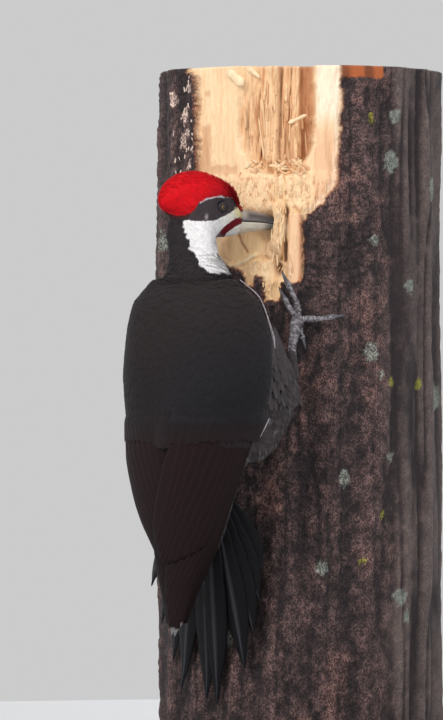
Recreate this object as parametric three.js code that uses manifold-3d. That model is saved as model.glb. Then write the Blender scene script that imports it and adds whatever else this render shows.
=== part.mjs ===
// A male pileated woodpecker at life size, clinging to a short cut length of trunk that stands on two rods
// and a flat base. It leans on its tail and pecks into an excavated pit. Millimetres, +Z up. The origin is
// the middle of the base's underside, and the bird's back is towards -Y.
import * as THREE from "three";
import { mergeVertices } from "three/addons/utils/BufferGeometryUtils.js";
import Module from "manifold-3d";

const wasm = await Module();
wasm.setup();

// ---------- driving dimensions ----------
const BASE = { width: 272, depth: 352, thick: 18, corner: 26 };
const ROD = { radius: 7, height: 30, spread: 62 };
const LOG = { radius: 112, length: 503, x: 8.4, y: 56.5, swell: 1.6, ribs: 20, ribDepth: 3.6 };
const LOG_FOOT = BASE.thick + ROD.height;
const BIRD_YAW = 26; // degrees that the bird's place on the trunk is turned round from the front
const GAP = 0.35; // left between neighbouring solids
const HEAD = { side: -6.6, out: 143.4, height: 442.8, turn: 39, dip: 6 };
const EYE = { radius: 4.8, forward: 3, up: 0.5, side: 12.4 };
const BILL = { root: 25, tip: 75, halfWidth: 7.2, rise: 9, drop: 8.6, line: -7.8 };
const WING = {
  coverts: 5.6, // thickness of each band of feathers
  secondaries: 4.6,
  primaries: 3.4,
  edge: 0.7,
  crossing: 4, // how far the right wing is lifted where it lies over the left one
  underThinning: 0.35,
  splitHigh: 262,
  splitLow: 200,
};
const TAIL = {
  thick: 0.9,
  step: 1.3, // between one feather's layer and the next
  rootHeight: 232,
  rootOut: 157,
  rootTurn: -1.5,
  tipHeight: 69.5,
  tipOut: 114.2,
};
const FOOT = { turn: 24.2, leftTurn: -22, height: 359.5, leftDrop: 10, toe: 2.9, claw: 1.9 };
const PITS = [
  // turn round the trunk, height, half width, half height, distance from the trunk's axis, half depth
  [9, 541, 62, 92, 97, 20],
  [-1, 437, 40, 62, 104, 14],
];
const CENTRE_SIDE = 2; // the legs' middle, along the bird's right

// ---------- materials ----------
const finish = (color, roughness) => new THREE.MeshStandardMaterial({ color, roughness, metalness: 0 });
const BLACK = finish(0x2a2624, 0.75);
const BROWN_BLACK = finish(0x2b2321, 0.7);
const WHITE = finish(0xece8df, 0.8);
const RED = finish(0xc8141c, 0.7);
const GREY_FEATHER = finish(0x4a4542, 0.85);
const SLATE_HORN = finish(0x4d474a, 0.35);
const PALE_HORN = finish(0xb9ab97, 0.4);
const IRIS = finish(0x9a7b2e, 0.1);
const SCALED = finish(0x8f8e92, 0.6);
const CLAW_HORN = finish(0x57545a, 0.35);
const BARK = finish(0x554742, 0.95);
const STAND = finish(0x1d1b1a, 0.45);

// ---------- small tools ----------
const radians = THREE.MathUtils.degToRad;
const mix = THREE.MathUtils.lerp;
const eased = THREE.MathUtils.smoothstep;
const FULL_TURN = 2 * Math.PI;

// A smooth function through rows of [at, value, value, ...], whose first numbers rise.
function through(rows) {
  const slopes = rows.map((row, i) => {
    const before = rows[Math.max(i - 1, 0)];
    const after = rows[Math.min(i + 1, rows.length - 1)];
    return row.map((_, column) => (after[column] - before[column]) / (after[0] - before[0]));
  });
  return (wanted) => {
    const at = THREE.MathUtils.clamp(wanted, rows[0][0], rows.at(-1)[0]);
    const next = Math.max(1, rows.findIndex((row) => at <= row[0]));
    const [low, high] = [rows[next - 1], rows[next]];
    const span = high[0] - low[0];
    const t = (at - low[0]) / span;
    const [tt, ttt] = [t * t, t * t * t];
    return low.slice(1).map((_, i) => {
      const column = i + 1;
      const rise = (ttt - 2 * tt + t) * slopes[next - 1][column] + (ttt - tt) * slopes[next][column];
      return (2 * ttt - 3 * tt + 1) * low[column] + (3 * tt - 2 * ttt) * high[column] + rise * span;
    });
  };
}

// A closed form: a sphere's grid, each vertex moved to place(angle, t), capped at both ends.
function formed(around, along, place) {
  const form = new THREE.SphereGeometry(1, around, along);
  const { position } = form.attributes;
  for (let i = 0; i < position.count; i++) {
    const row = Math.floor(i / (around + 1));
    const angle = ((i % (around + 1)) % around) * (FULL_TURN / around);
    const t = row / along;
    const capped = row === 0 || row === along;
    const point = capped ? place(0, t).lerp(place(Math.PI, t), 0.5) : place(angle, t);
    position.setXYZ(i, point.x, point.y, point.z);
  }
  return solid(form);
}

// A thin plate: a box's grid, each vertex moved to place(across, t, face). Face is 1 outside and 0 inside.
function plate(across, along, place) {
  const form = new THREE.BoxGeometry(1, 1, 1, across, 1, along);
  const { position } = form.attributes;
  for (let i = 0; i < position.count; i++) {
    const point = place(position.getX(i) + 0.5, position.getZ(i) + 0.5, position.getY(i) + 0.5);
    position.setXYZ(i, point.x, point.y, point.z);
  }
  return solid(form);
}

// A geometry as a solid with its faces pointing out.
function solid(geometry) {
  const bare = geometry.index ? geometry.toNonIndexed() : geometry.clone();
  bare.deleteAttribute("normal");
  bare.deleteAttribute("uv");
  const merged = mergeVertices(bare, 1e-4);
  const vertProperties = merged.attributes.position.array;
  const triVerts = new Uint32Array(merged.index.array);
  const make = () => new wasm.Manifold(new wasm.Mesh({ numProp: 3, vertProperties, triVerts }));
  const made = make();
  if (made.volume() > 0) return made;
  for (let i = 0; i < triVerts.length; i += 3) {
    [triVerts[i + 1], triVerts[i + 2]] = [triVerts[i + 2], triVerts[i + 1]];
  }
  return make();
}

// The largest piece of a solid: what a cut leaves behind as crumbs is dropped.
const largest = (shape) => shape.decompose().reduce((a, b) => (a.volume() > b.volume() ? a : b));

const without = (shape, ...tools) => largest(tools.reduce((left, cut) => left.subtract(cut), shape));

function mesh(name, material, shape) {
  const { numProp, numVert, vertProperties, triVerts } = shape.getMesh();
  const points = new Float32Array(numVert * 3);
  for (let i = 0; i < numVert; i++) {
    points.set(vertProperties.subarray(i * numProp, i * numProp + 3), i * 3);
  }
  const geometry = new THREE.BufferGeometry();
  geometry.setAttribute("position", new THREE.BufferAttribute(points, 3));
  geometry.setIndex(new THREE.BufferAttribute(triVerts, 1));
  geometry.computeVertexNormals();
  const made = new THREE.Mesh(geometry, material);
  made.name = name;
  return made;
}

// Places in the bird's frame: side is to its right, out is away from the trunk's axis, height is up.
const at = (side, out, height) => new THREE.Vector3(side, -out, height);
function roundTrunk(turn, radius, height) {
  const angle = radians(turn);
  return at(radius * Math.sin(angle), radius * Math.cos(angle), height);
}

// ---------- trunk of the bird ----------
// height, side, out, half width, depth to the back, depth to the belly
const bodyAt = through([
  [178, -10, 143, 5, 4, 4],
  [190, -10.5, 148, 15, 9, 11],
  [206, -11, 156, 24, 15, 20],
  [225.6, -10.5, 165, 32, 22, 31],
  [262.6, -5, 176, 44, 33, 43],
  [299.6, 2, 182, 53, 42, 51],
  [336.6, 6, 186, 53, 42, 50],
  [373.6, 4, 184, 45, 37, 41],
  [388, 1, 178, 30, 25, 29],
  [396, -1, 175, 13, 12, 14],
]);

function body(grow = 0) {
  const [foot, top] = [178 - grow, 396 + grow];
  return formed(24, 15, (angle, t) => {
    const height = mix(foot, top, 0.5 - 0.5 * Math.cos(Math.PI * t));
    const [side, out, halfWidth, back, belly] = bodyAt(height);
    const depth = Math.cos(angle) > 0 ? back : belly;
    return at(side + (halfWidth + grow) * Math.sin(angle), out + (depth + grow) * Math.cos(angle), height);
  });
}

// ---------- head, in its own axes: right, forward, up ----------
const [turned, dipped] = [radians(HEAD.turn), radians(HEAD.dip)];
const level = new THREE.Vector3(Math.sin(turned), Math.cos(turned), 0);
const forward = level.multiplyScalar(Math.cos(dipped)).setZ(-Math.sin(dipped));
const rightward = new THREE.Vector3(Math.cos(turned), -Math.sin(turned), 0);
const upward = new THREE.Vector3().crossVectors(rightward, forward);
const headPlace = at(HEAD.side, HEAD.out, HEAD.height);
const headFrame = new THREE.Matrix4().makeBasis(rightward, forward, upward).setPosition(headPlace);
const inHead = (right, ahead, up) => new THREE.Vector3(right, ahead, up).applyMatrix4(headFrame);

// forward, centre height, half height, half width
const skullAt = through([
  [-39, 2, 4, 4],
  [-31, 2, 14, 12],
  [-22, 1, 19.5, 16],
  [-12, 0, 22, 17.5],
  [0, -1, 21.5, 16.6],
  [10, -3.5, 18.5, 14.5],
  [18, -6, 14, 11.5],
  [24, -7.8, 10, 9],
  [29, -8, 7.6, 7.4],
]);

function head(grow = 0) {
  return formed(20, 12, (angle, t) => {
    const ahead = mix(-39 - grow, 29 + grow, t);
    const [centre, halfHeight, halfWidth] = skullAt(ahead);
    const [reach, rise] = [halfWidth + grow, halfHeight + grow];
    return inHead(reach * Math.sin(angle), ahead, centre + rise * Math.cos(angle));
  });
}

// forward, top, bottom, half width: the crown feathers from the forehead to the raised point behind
const crestAt = through([
  [-44.5, 3, -3, 1.5],
  [-41, 10, -7, 8],
  [-35, 17.5, -9, 12.5],
  [-27, 23, -7, 16],
  [-18, 25.7, -2, 17.6],
  [-7, 25.7, 3, 17],
  [4, 22.6, 6, 14.5],
  [13, 16.8, 6, 10.5],
  [19, 10.4, 3, 7],
  [24.5, 2.4, 0, 3],
]);

function crest() {
  return formed(16, 11, (angle, t) => {
    const ahead = mix(-44.5, 24.5, t);
    const [top, bottom, halfWidth] = crestAt(ahead);
    const roofed = Math.sign(Math.sin(angle)) * Math.abs(Math.sin(angle)) ** 1.15;
    return inHead(halfWidth * roofed, ahead, (top + bottom) / 2 + ((top - bottom) / 2) * Math.cos(angle));
  });
}

function eye(sign, grow = 0) {
  const ball = new THREE.SphereGeometry(EYE.radius + grow, 10, 7);
  const place = inHead(sign * EYE.side, EYE.forward, EYE.up);
  return solid(ball.translate(place.x, place.y, place.z));
}

// One half of the bill: sign is 1 for the upper half and -1 for the lower. Each has a flat face at the line.
function billHalf(sign, grow = 0) {
  const deep = sign > 0 ? BILL.rise : BILL.drop;
  return formed(12, 7, (angle, t) => {
    const ahead = mix(BILL.root - grow, BILL.tip + grow, t);
    const tapered = 1 - 0.9 * t ** (sign > 0 ? 1.5 : 1.35);
    const across = (BILL.halfWidth * (1 - 0.86 * t ** 1.15) + grow) * Math.cos(angle);
    const ridge = Math.max(Math.sin(angle), 0) ** 1.2;
    const away = ridge * (deep * tapered + grow) + (Math.sin(angle) > -1e-6 ? GAP / 2 : GAP / 2 - grow);
    return inHead(across, ahead, BILL.line + sign * away);
  });
}

// ---------- neck ----------
const neckLine = new THREE.CatmullRomCurve3([
  at(-12, 150, 441),
  at(-16.5, 155.5, 430),
  at(-15.5, 160, 420),
  at(-12, 164, 410.6),
  at(-7.5, 169.5, 401.7),
  at(-2, 174.5, 392),
  at(3, 180, 378),
]);
const neckAt = through([
  [0, 12, 12],
  [0.15, 18, 18],
  [0.5, 18.7, 19],
  [0.66, 20.5, 20.5],
  [0.82, 27, 25],
  [1, 33, 30],
]);

function neck() {
  return formed(18, 7, (angle, t) => {
    const centre = neckLine.getPointAt(t);
    const [halfWidth, halfDepth] = neckAt(t);
    return centre.add(at(halfWidth * Math.sin(angle), halfDepth * Math.cos(angle), 0));
  });
}

// ---------- wings ----------
// height, side, out, half width, depth to the back: the bed that the folded wings lie on
const bedAt = through([
  [122, -28.5, 153, 3, 2.5],
  [151.6, -23.5, 157, 11, 6],
  [188.6, -16.5, 163, 24, 14],
  [225.6, -13, 169.5, 36, 24],
  [262.6, -6.5, 176, 45, 34.5],
  [299.6, 2, 182, 54, 43],
  [336.6, 6, 186, 54, 43],
  [373.6, 4, 184, 46, 38],
  [391, 1, 178, 30, 26],
]);
// height, then the degrees from the back's middle to the right wing's inner edge, the left one's inner edge
// and the outer edge of both
const wingEdges = through([
  [122, -80, -30, 80],
  [151.6, -75, -25, 88],
  [188.6, -60, -20, 93],
  [225.6, -41, -10, 97],
  [262.6, -19, 0, 101],
  [290, -7, 6, 106],
  [336.6, 10, 13, 108],
  [373.6, 22, 22, 102],
  [391, 44, 44, 84],
]);

// A band of a folded wing between two heights. sign is 1 for the right wing, which crosses over the left.
function wingBand(sign, foot, top, thick, rows, grow = 0) {
  return plate(9, rows, (across, t, face) => {
    const height = mix(foot, top, t);
    const [side, out, halfWidth, back] = bedAt(height);
    const [rightInner, leftInner, outer] = wingEdges(height);
    const degrees = mix((sign > 0 ? rightInner : leftInner) - grow, outer + grow, across);
    const low = 1 - eased(height, 290, 325);
    const crossed = sign > 0 ? (1 - eased(degrees, 34, 62)) * low : 0;
    const full = thick * (sign < 0 ? 1 - WING.underThinning * low : 1);
    const rounded = (1 - Math.abs(2 * across - 1) ** 3) ** 0.6;
    const outerFace = WING.edge + (full - WING.edge) * rounded;
    const lift = GAP + WING.crossing * crossed + mix(-grow, outerFace + grow, face);
    const turn = sign * radians(degrees);
    return at(side + (halfWidth + lift) * Math.sin(turn), out + (back + lift) * Math.cos(turn), height);
  });
}

const WING_BANDS = [
  ["coverts", WING.splitHigh + GAP, 391, WING.coverts, 7],
  ["secondaries", WING.splitLow + GAP, WING.splitHigh, WING.secondaries, 4],
  ["primaries", 122, WING.splitLow, WING.primaries, 6],
];

function wing(side, sign) {
  const clear = body(GAP);
  return WING_BANDS.map(([part, low, high, thick, rows]) => {
    const band = wingBand(sign, low, high, thick, rows);
    const over = sign < 0 ? [wingBand(1, low - 1, high + 1, thick, rows, GAP)] : [];
    const material = part === "coverts" ? BLACK : BROWN_BLACK;
    return mesh(`wing_${side}_${part}`, material, without(band, clear, ...over));
  });
}

// ---------- tail ----------
// How far out the fan lies at a height, from the rump down to the bark.
function fanOut(height) {
  const raised = (height - TAIL.tipHeight) / (TAIL.rootHeight - TAIL.tipHeight);
  return mix(TAIL.tipOut, TAIL.rootOut, raised ** 1.15);
}

// turn round the trunk and height of each tip, from the middle pair outwards, right feather then left
const TAIL_TIPS = [
  [-8, 69.5], [-13, 72],
  [4.4, 97], [-27, 78],
  [8.5, 124], [-33, 99],
  [11, 150], [-38, 128],
  [12.5, 174], [-42, 156],
];
const vaneAt = through([
  [0, 2.6],
  [0.25, 8],
  [0.55, 10.6],
  [0.72, 9.6],
  [0.88, 5],
  [1, 0.5],
]);

function tailFeather(order) {
  const [tipTurn, tipHeight] = TAIL_TIPS[order];
  const rightHand = order % 2 === 0;
  const rootTurn = TAIL.rootTurn + (rightHand ? 1 : -1) * (0.6 + 0.35 * order);
  return plate(4, 7, (across, t, face) => {
    const height = mix(TAIL.rootHeight, tipHeight, t);
    const turn = mix(rootTurn, tipTurn, t ** 1.1);
    const sideways = 2 * across - 1;
    const layer = order * TAIL.step * eased(height, TAIL.tipHeight, TAIL.tipHeight + 34);
    const thick = TAIL.thick * (1 - 0.4 * Math.abs(sideways));
    const radius = fanOut(height) - layer + thick * (face - 0.5);
    const spread = ((vaneAt(t)[0] * sideways) / radius) * (180 / Math.PI);
    return roundTrunk(turn + spread, radius, height);
  });
}

// ---------- legs ----------
// A round form along a line, with its radius given by radiusAt(t).
function limb(line, around, along, radiusAt) {
  const frames = line.computeFrenetFrames(along);
  return formed(around, along, (angle, t) => {
    const step = Math.round(t * along);
    const [across, over] = [frames.normals[step], frames.binormals[step]];
    const radius = radiusAt(t);
    return line.getPointAt(t)
      .addScaledVector(across, radius * Math.cos(angle))
      .addScaledVector(over, radius * Math.sin(angle));
  });
}

const thighAt = through([[0, 4], [0.12, 11], [0.35, 15.5], [0.62, 16.5], [0.82, 12], [0.94, 6.5], [1, 3]]);
function thigh(sign, drop, grow = 0) {
  const line = new THREE.CatmullRomCurve3([
    at(CENTRE_SIDE + sign * 26, 156, 250 - drop),
    at(CENTRE_SIDE + sign * 35, 145, 272 - drop),
    at(CENTRE_SIDE + sign * 42, 134, 300 - drop),
    at(CENTRE_SIDE + sign * 46, 121.5, 331 - drop),
  ]);
  return limb(line, 12, 8, (t) => thighAt(t)[0] + grow);
}

// The underside of the foot, where the toes meet, on the bark.
const palm = (sign) => ({
  turn: sign > 0 ? FOOT.turn : FOOT.leftTurn,
  height: FOOT.height - (sign > 0 ? 0 : FOOT.leftDrop),
});

function tarsus(sign, drop, grow = 0) {
  const { turn, height } = palm(sign);
  const line = new THREE.CatmullRomCurve3([
    at(CENTRE_SIDE + sign * 46, 121.5, 326 - drop),
    at(CENTRE_SIDE + sign * 46.2, 116, 340 - drop),
    roundTrunk(turn, LOG.radius + 4.2, height),
  ]);
  const thickness = (t) => 3 + 0.8 * (1 - eased(t, 0, 0.25)) + 1.5 * eased(t, 0.65, 0.95);
  return limb(line, 8, 6, (t) => thickness(t) + grow);
}

// Each toe: sideways and upward places of its joints from the palm, towards the bird's outer side and up.
const TOES = {
  hallux: [[0.4, -3.4], [2, -9], [3.6, -14.5]],
  inner: [[-1.4, 3], [-6.2, 9.6], [-9.6, 16.4]],
  middle: [[0.6, 4.4], [-1.6, 14.8], [-7.8, 28.4]],
  outer: [[4.2, 0.4], [15.5, 0.6], [26.8, 2.2]],
};

// A line over the bark through places given from the palm, each with its lift off the bark.
function barkLine(sign, places) {
  const { turn, height } = palm(sign);
  const degreesPerStep = (sign * 180) / (Math.PI * LOG.radius);
  const bark = LOG.radius + LOG.swell;
  const points = places.map(([sideways, up, lift]) =>
    roundTrunk(turn + sideways * degreesPerStep, bark + lift, height + up),
  );
  return new THREE.CatmullRomCurve3(points);
}

function toe(sign, joints) {
  const lift = FOOT.toe + 0.2;
  const line = barkLine(sign, joints.map(([sideways, up]) => [sideways, up, lift]));
  const knuckles = (t) => FOOT.toe * (0.86 - 0.14 * t + 0.12 * Math.cos(FULL_TURN * 2 * t));
  return limb(line, 8, 6, (t) => knuckles(t) * (t > 0.99 ? 0.8 : 1));
}

function claw(sign, joints) {
  const [before, last] = joints.slice(-2);
  const [sideways, up] = [last[0] - before[0], last[1] - before[1]];
  const length = Math.hypot(sideways, up);
  const step = (far, lift) => [last[0] + (sideways / length) * far, last[1] + (up / length) * far, lift];
  const line = barkLine(sign, [step(0.6, 2.9), step(4, 4.1), step(7.4, 3.1), step(9.4, 0.5)]);
  return limb(line, 6, 5, (t) => FOOT.claw * (1 - 0.88 * t ** 1.2));
}

function leg(side, sign) {
  const drop = sign > 0 ? 0 : FOOT.leftDrop;
  const clearOfBody = [body(GAP), ...bodyShell(sign)];
  const upper = without(thigh(sign, drop), ...clearOfBody);
  const shank = without(tarsus(sign, drop), thigh(sign, drop, GAP));
  const made = [mesh(`leg_${side}_thigh`, GREY_FEATHER, upper), mesh(`leg_${side}_tarsus`, SCALED, shank)];
  const placed = [tarsus(sign, drop, GAP)];
  for (const [name, joints] of Object.entries(TOES)) {
    const digit = without(toe(sign, joints), ...placed);
    placed.push(toe(sign, joints));
    made.push(mesh(`leg_${side}_toe_${name}`, SCALED, digit));
    made.push(mesh(`leg_${side}_claw_${name}`, CLAW_HORN, without(claw(sign, joints), toe(sign, joints))));
  }
  return made;
}

// The wing that lies over a thigh, as a tool to cut the thigh with.
const bodyShell = (sign) => [wingBand(sign, 240, 391, WING.coverts + 1, 7)];

// ---------- perch and stand ----------
// Low waves in the bark, as a share of its swell.
function barkWave(turn, height) {
  return 0.6 * Math.sin(3 * turn + height / 90) + 0.4 * Math.sin(7 * turn - height / 40);
}

// How deep the bark is furrowed between its upright ribs, which wander a little.
function furrow(turn, height) {
  return LOG.ribDepth * (0.5 - 0.5 * Math.cos(LOG.ribs * turn + 0.8 * Math.sin(height / 70)));
}

function log() {
  const stem = new THREE.CylinderGeometry(LOG.radius, LOG.radius, LOG.length, 2 * LOG.ribs, 5).rotateX(Math.PI / 2);
  stem.translate(0, 0, LOG_FOOT + LOG.length / 2);
  const { position } = stem.attributes;
  for (let i = 0; i < position.count; i++) {
    const [x, y, height] = [position.getX(i), position.getY(i), position.getZ(i)];
    const reach = Math.hypot(x, y);
    if (reach < 1) continue;
    const turn = Math.atan2(y, x);
    const swollen = 1 + (LOG.swell * barkWave(turn, height) - furrow(turn, height)) / reach;
    position.setXY(i, x * swollen, y * swollen);
  }
  return solid(stem);
}

// The rounded form that a pit in the trunk is cut with.
function hollow(turn, height, halfWidth, halfHeight, distance, halfDepth) {
  const middle = roundTrunk(turn, distance, height);
  const [across, inward] = [roundTrunk(turn + 90, 1, 0), roundTrunk(turn, -1, 0)];
  return formed(16, 8, (angle, t) => {
    const polar = Math.PI * t;
    const square = (value) => Math.sign(value) * Math.abs(value) ** 0.72;
    const ring = square(Math.sin(polar));
    return middle.clone()
      .addScaledVector(across, halfWidth * square(Math.cos(angle)) * ring)
      .addScaledVector(inward, halfDepth * square(Math.sin(angle)) * ring)
      .add(at(0, 0, halfHeight * square(Math.cos(polar))));
  });
}

function perch() {
  const pits = PITS.map((pit) => hollow(...pit));
  return without(log(), ...pits, billHalf(1, 0.9), billHalf(-1, 0.9));
}

function standBase() {
  const [x, y, r] = [BASE.width / 2, BASE.depth / 2, BASE.corner];
  const outline = new THREE.Shape();
  outline.moveTo(-x + r, -y);
  outline.lineTo(x - r, -y).absarc(x - r, -y + r, r, -Math.PI / 2, 0);
  outline.lineTo(x, y - r).absarc(x - r, y - r, r, 0, Math.PI / 2);
  outline.lineTo(-x + r, y).absarc(-x + r, y - r, r, Math.PI / 2, Math.PI);
  outline.lineTo(-x, -y + r).absarc(-x + r, -y + r, r, Math.PI, 1.5 * Math.PI);
  const slab = { depth: BASE.thick, bevelEnabled: false, curveSegments: 4 };
  return solid(new THREE.ExtrudeGeometry(outline, slab));
}

function standRod(sign) {
  const rod = new THREE.CylinderGeometry(ROD.radius, ROD.radius, ROD.height, 20).rotateX(Math.PI / 2);
  return solid(rod.translate(LOG.x + sign * ROD.spread, LOG.y, BASE.thick + ROD.height / 2));
}

// ---------- the whole ----------
const bird = new THREE.Group();
bird.position.set(LOG.x, LOG.y, 0);
bird.rotation.z = -radians(BIRD_YAW);

const skull = without(head(), eye(1, GAP), eye(-1, GAP), billHalf(1, GAP), billHalf(-1, GAP));
bird.add(mesh("body", BLACK, body()));
bird.add(mesh("head", WHITE, skull));
bird.add(mesh("crest", RED, without(crest(), head(GAP), eye(1, GAP), eye(-1, GAP))));
bird.add(mesh("neck", BLACK, without(neck(), head(GAP), body(GAP))));
bird.add(mesh("bill_upper", SLATE_HORN, billHalf(1)));
bird.add(mesh("bill_lower", PALE_HORN, billHalf(-1)));
for (const [side, sign] of [["right", 1], ["left", -1]]) {
  bird.add(mesh(`eye_${side}`, IRIS, eye(sign)));
  bird.add(...wing(side, sign));
  bird.add(...leg(side, sign));
}
TAIL_TIPS.forEach((_, order) => {
  const name = `tail_${order % 2 ? "left" : "right"}_${Math.floor(order / 2) + 1}`;
  bird.add(mesh(name, BLACK, without(tailFeather(order), body(GAP))));
});
bird.add(mesh("perch_log", BARK, perch()));

const model = new THREE.Group();
model.add(bird);
model.add(mesh("stand_base", STAND, standBase()));
model.add(mesh("stand_rod_left", STAND, standRod(-1)));
model.add(mesh("stand_rod_right", STAND, standRod(1)));

export default model;
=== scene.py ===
"""A male pileated woodpecker at life size, pecking into a pit in a cut length of trunk on a display stand.

Lengths are millimetres unless a name or a unit says otherwise, and meshes are written in metres. The model's
frame has +Z up, the bird's back towards -Y and its origin in the middle of the stand's underside.
"""

import math

import bmesh
import bpy
import numpy as np
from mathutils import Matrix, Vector, kdtree


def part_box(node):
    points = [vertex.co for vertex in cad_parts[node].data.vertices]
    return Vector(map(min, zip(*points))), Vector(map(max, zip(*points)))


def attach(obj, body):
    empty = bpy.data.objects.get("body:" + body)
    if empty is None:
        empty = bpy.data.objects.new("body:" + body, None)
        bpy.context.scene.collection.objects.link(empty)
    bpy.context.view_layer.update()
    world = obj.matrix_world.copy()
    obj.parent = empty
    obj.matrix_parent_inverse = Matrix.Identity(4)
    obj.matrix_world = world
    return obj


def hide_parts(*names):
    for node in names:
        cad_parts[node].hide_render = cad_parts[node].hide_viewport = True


bl_info = {
    "name": "Pileated woodpecker on a trunk",
    "version": (1, 0, 0),
    "blender": (4, 5, 0),
    "location": "3D View > Sidebar > Woodpecker",
    "description": "Builds the feathered bird, its perch and its display stand around the packed solids",
    "category": "Add Mesh",
}

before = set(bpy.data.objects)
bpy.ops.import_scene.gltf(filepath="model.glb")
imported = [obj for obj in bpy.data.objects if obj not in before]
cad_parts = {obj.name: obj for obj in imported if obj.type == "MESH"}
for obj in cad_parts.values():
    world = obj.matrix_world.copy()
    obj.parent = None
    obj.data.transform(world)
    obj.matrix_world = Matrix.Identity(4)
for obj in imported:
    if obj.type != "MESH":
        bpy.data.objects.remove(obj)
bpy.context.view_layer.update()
MM = 0.001
SIDES = (("right", 1), ("left", -1))  # and the sign of the bird's own sideways places

# ---------- places ----------
TRUNK = np.array([8.4, 56.5, 0.0])  # a point on the trunk's axis
TRUNK_RADIUS = 112.0
BARK_RADIUS = 113.6  # the radius that the feet stand on
TRUNK_FOOT, TRUNK_TOP = 48.0, 551.0
RIBS = {"count": 20, "depth": 3.6, "start": math.radians(64), "swell": 1.6}
BIRD_YAW = math.radians(26)
HEAD_PLACE = np.array([-6.6, -143.4, 442.8])
HEAD_TURN, HEAD_DIP = math.radians(39), math.radians(6)
EYE = {"radius": 4.6, "place": (11.5, 3.0, 0.5)}
BILL = {"root": 25, "tip": 75, "half_width": 7.2, "rise": 9, "drop": 8.6, "line": -7.8}
TAIL = {"step": 1.3, "root_height": 232, "root_out": 157, "root_turn": -1.5, "tip_height": 69.5,
        "tip_out": 114.2}
FOOT = {"turn": 24.2, "left_turn": -22, "height": 359.5, "left_drop": 10, "toe": 2.9, "claw": 1.9,
        "middle": 2}

_c, _s = math.cos(BIRD_YAW), math.sin(BIRD_YAW)
BIRD_AXES = np.array([[_c, _s, 0], [-_s, _c, 0], [0, 0, 1]])  # columns: the bird's right, inwards and up
_level = np.array([math.sin(HEAD_TURN), math.cos(HEAD_TURN), 0])
_ahead = _level * math.cos(HEAD_DIP) + np.array([0, 0, -math.sin(HEAD_DIP)])
_right = np.array([math.cos(HEAD_TURN), -math.sin(HEAD_TURN), 0])
HEAD_AXES = np.stack([_right, _ahead, np.cross(_right, _ahead)], axis=1)  # right, forward, up


def from_bird(points):
    """Places in the model's frame from places in the bird's own axes, as the names of the next ones say too."""
    return np.asarray(points) @ BIRD_AXES.T + TRUNK


def in_bird(points):
    return (np.asarray(points) - TRUNK) @ BIRD_AXES


def from_head(points):
    return from_bird(np.asarray(points) @ HEAD_AXES.T + HEAD_PLACE)


def in_head(points):
    return (in_bird(points) - HEAD_PLACE) @ HEAD_AXES


def stacked(x, y, z):
    """Places from their three numbers, each of which may be the same along a row or for all."""
    return np.stack(np.broadcast_arrays(x, y, z), axis=-1)


def round_trunk(degrees, radius, height):
    """Places in the bird's axes, from the turn round the trunk to the bird's right."""
    turn = np.radians(degrees)
    return stacked(radius * np.sin(turn), -radius * np.cos(turn), height)


# ---------- numbers ----------
def unit(vectors):
    """Vectors in their own directions, one unit long."""
    return vectors / np.linalg.norm(vectors, axis=-1, keepdims=True)


def turns(count):
    """Angles evenly round a circle."""
    return np.arange(count) * 2 * math.pi / count


def inner_steps(count):
    """Shares between 0 and 1, with neither end."""
    return np.linspace(0, 1, count + 2)[1:-1]


def eased(value, low, high):
    t = np.clip((np.asarray(value, float) - low) / (high - low), 0, 1)
    return t * t * (3 - 2 * t)


def mixed(a, b, t):
    return a + (b - a) * t


def washed(a, b, share):
    """Colours or places a and b mixed, with one share for each."""
    return mixed(a, b, np.asarray(share)[..., None])


def painted(colour, hues, *layers):
    """The colour under layers of paint, each a hue, or the name of one, and its share at each place."""
    for hue, share in layers:
        colour = washed(colour, hues[hue] if isinstance(hue, str) else hue, share)
    return colour


def bump(value, middle, spread):
    return np.exp(-(((np.asarray(value) - middle) / spread) ** 2))


def band(value, low, high, soft):
    """1 between low and high, with soft shoulders."""
    return eased(value, low - soft, low + soft) * (1 - eased(value, high - soft, high + soft))


def through(rows):
    """A smooth function through rows of (at, value, ...), whose first numbers rise."""
    rows = np.array(rows, float)
    where, last = rows[:, 0], len(rows) - 1
    after, before = np.concatenate([rows[1:], rows[-1:]]), np.concatenate([rows[:1], rows[:-1]])
    slopes = (after - before) / (after[:, :1] - before[:, :1])

    def value(wanted):
        x = np.clip(wanted, where[0], where[-1])
        i = np.clip(np.searchsorted(where, x), 1, last)
        low, high = rows[i - 1, 1:], rows[i, 1:]
        span = (where[i] - where[i - 1])[..., None]
        t = (x - where[i - 1])[..., None] / span
        rise = (t**3 - 2 * t**2 + t) * slopes[i - 1, 1:] + (t**3 - t**2) * slopes[i, 1:]
        return (2 * t**3 - 3 * t**2 + 1) * low + (3 * t**2 - 2 * t**3) * high + rise * span

    return value


def curve(points, count):
    """Evenly numbered places on a smooth line through points."""
    points = np.array(points, float)
    return through(np.column_stack([np.arange(len(points)), points]))(np.linspace(0, len(points) - 1, count))


def noise(x, y, z=0.0, seed=0):
    """Smooth value noise from -1 to 1 with cells one unit wide."""
    x, y, z = np.broadcast_arrays(np.asarray(x, float), np.asarray(y, float), np.asarray(z, float))
    cells = [np.floor(v).astype(np.int64) for v in (x, y, z)]
    parts = [v - c for v, c in zip((x, y, z), cells)]
    weights = [p * p * (3 - 2 * p) for p in parts]
    total = np.zeros(x.shape)
    for corner in range(8):
        step = [(corner >> k) & 1 for k in range(3)]
        hashed = np.full(x.shape, (seed * 2654435769 + 97) & 0xFFFFFFFF, np.uint64)
        for cell, s, prime in zip(cells, step, (73856093, 19349663, 83492791)):
            hashed = (hashed ^ ((cell + s).astype(np.uint64) * np.uint64(prime))) & np.uint64(0xFFFFFFFF)
            hashed = (hashed * np.uint64(1540483477)) & np.uint64(0xFFFFFFFF)
            hashed ^= hashed >> np.uint64(15)
        weight = np.ones(x.shape)
        for w, s in zip(weights, step):
            weight = weight * (w if s else 1 - w)
        total += weight * (hashed.astype(float) / 2147483647.5 - 1)
    return total


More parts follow.
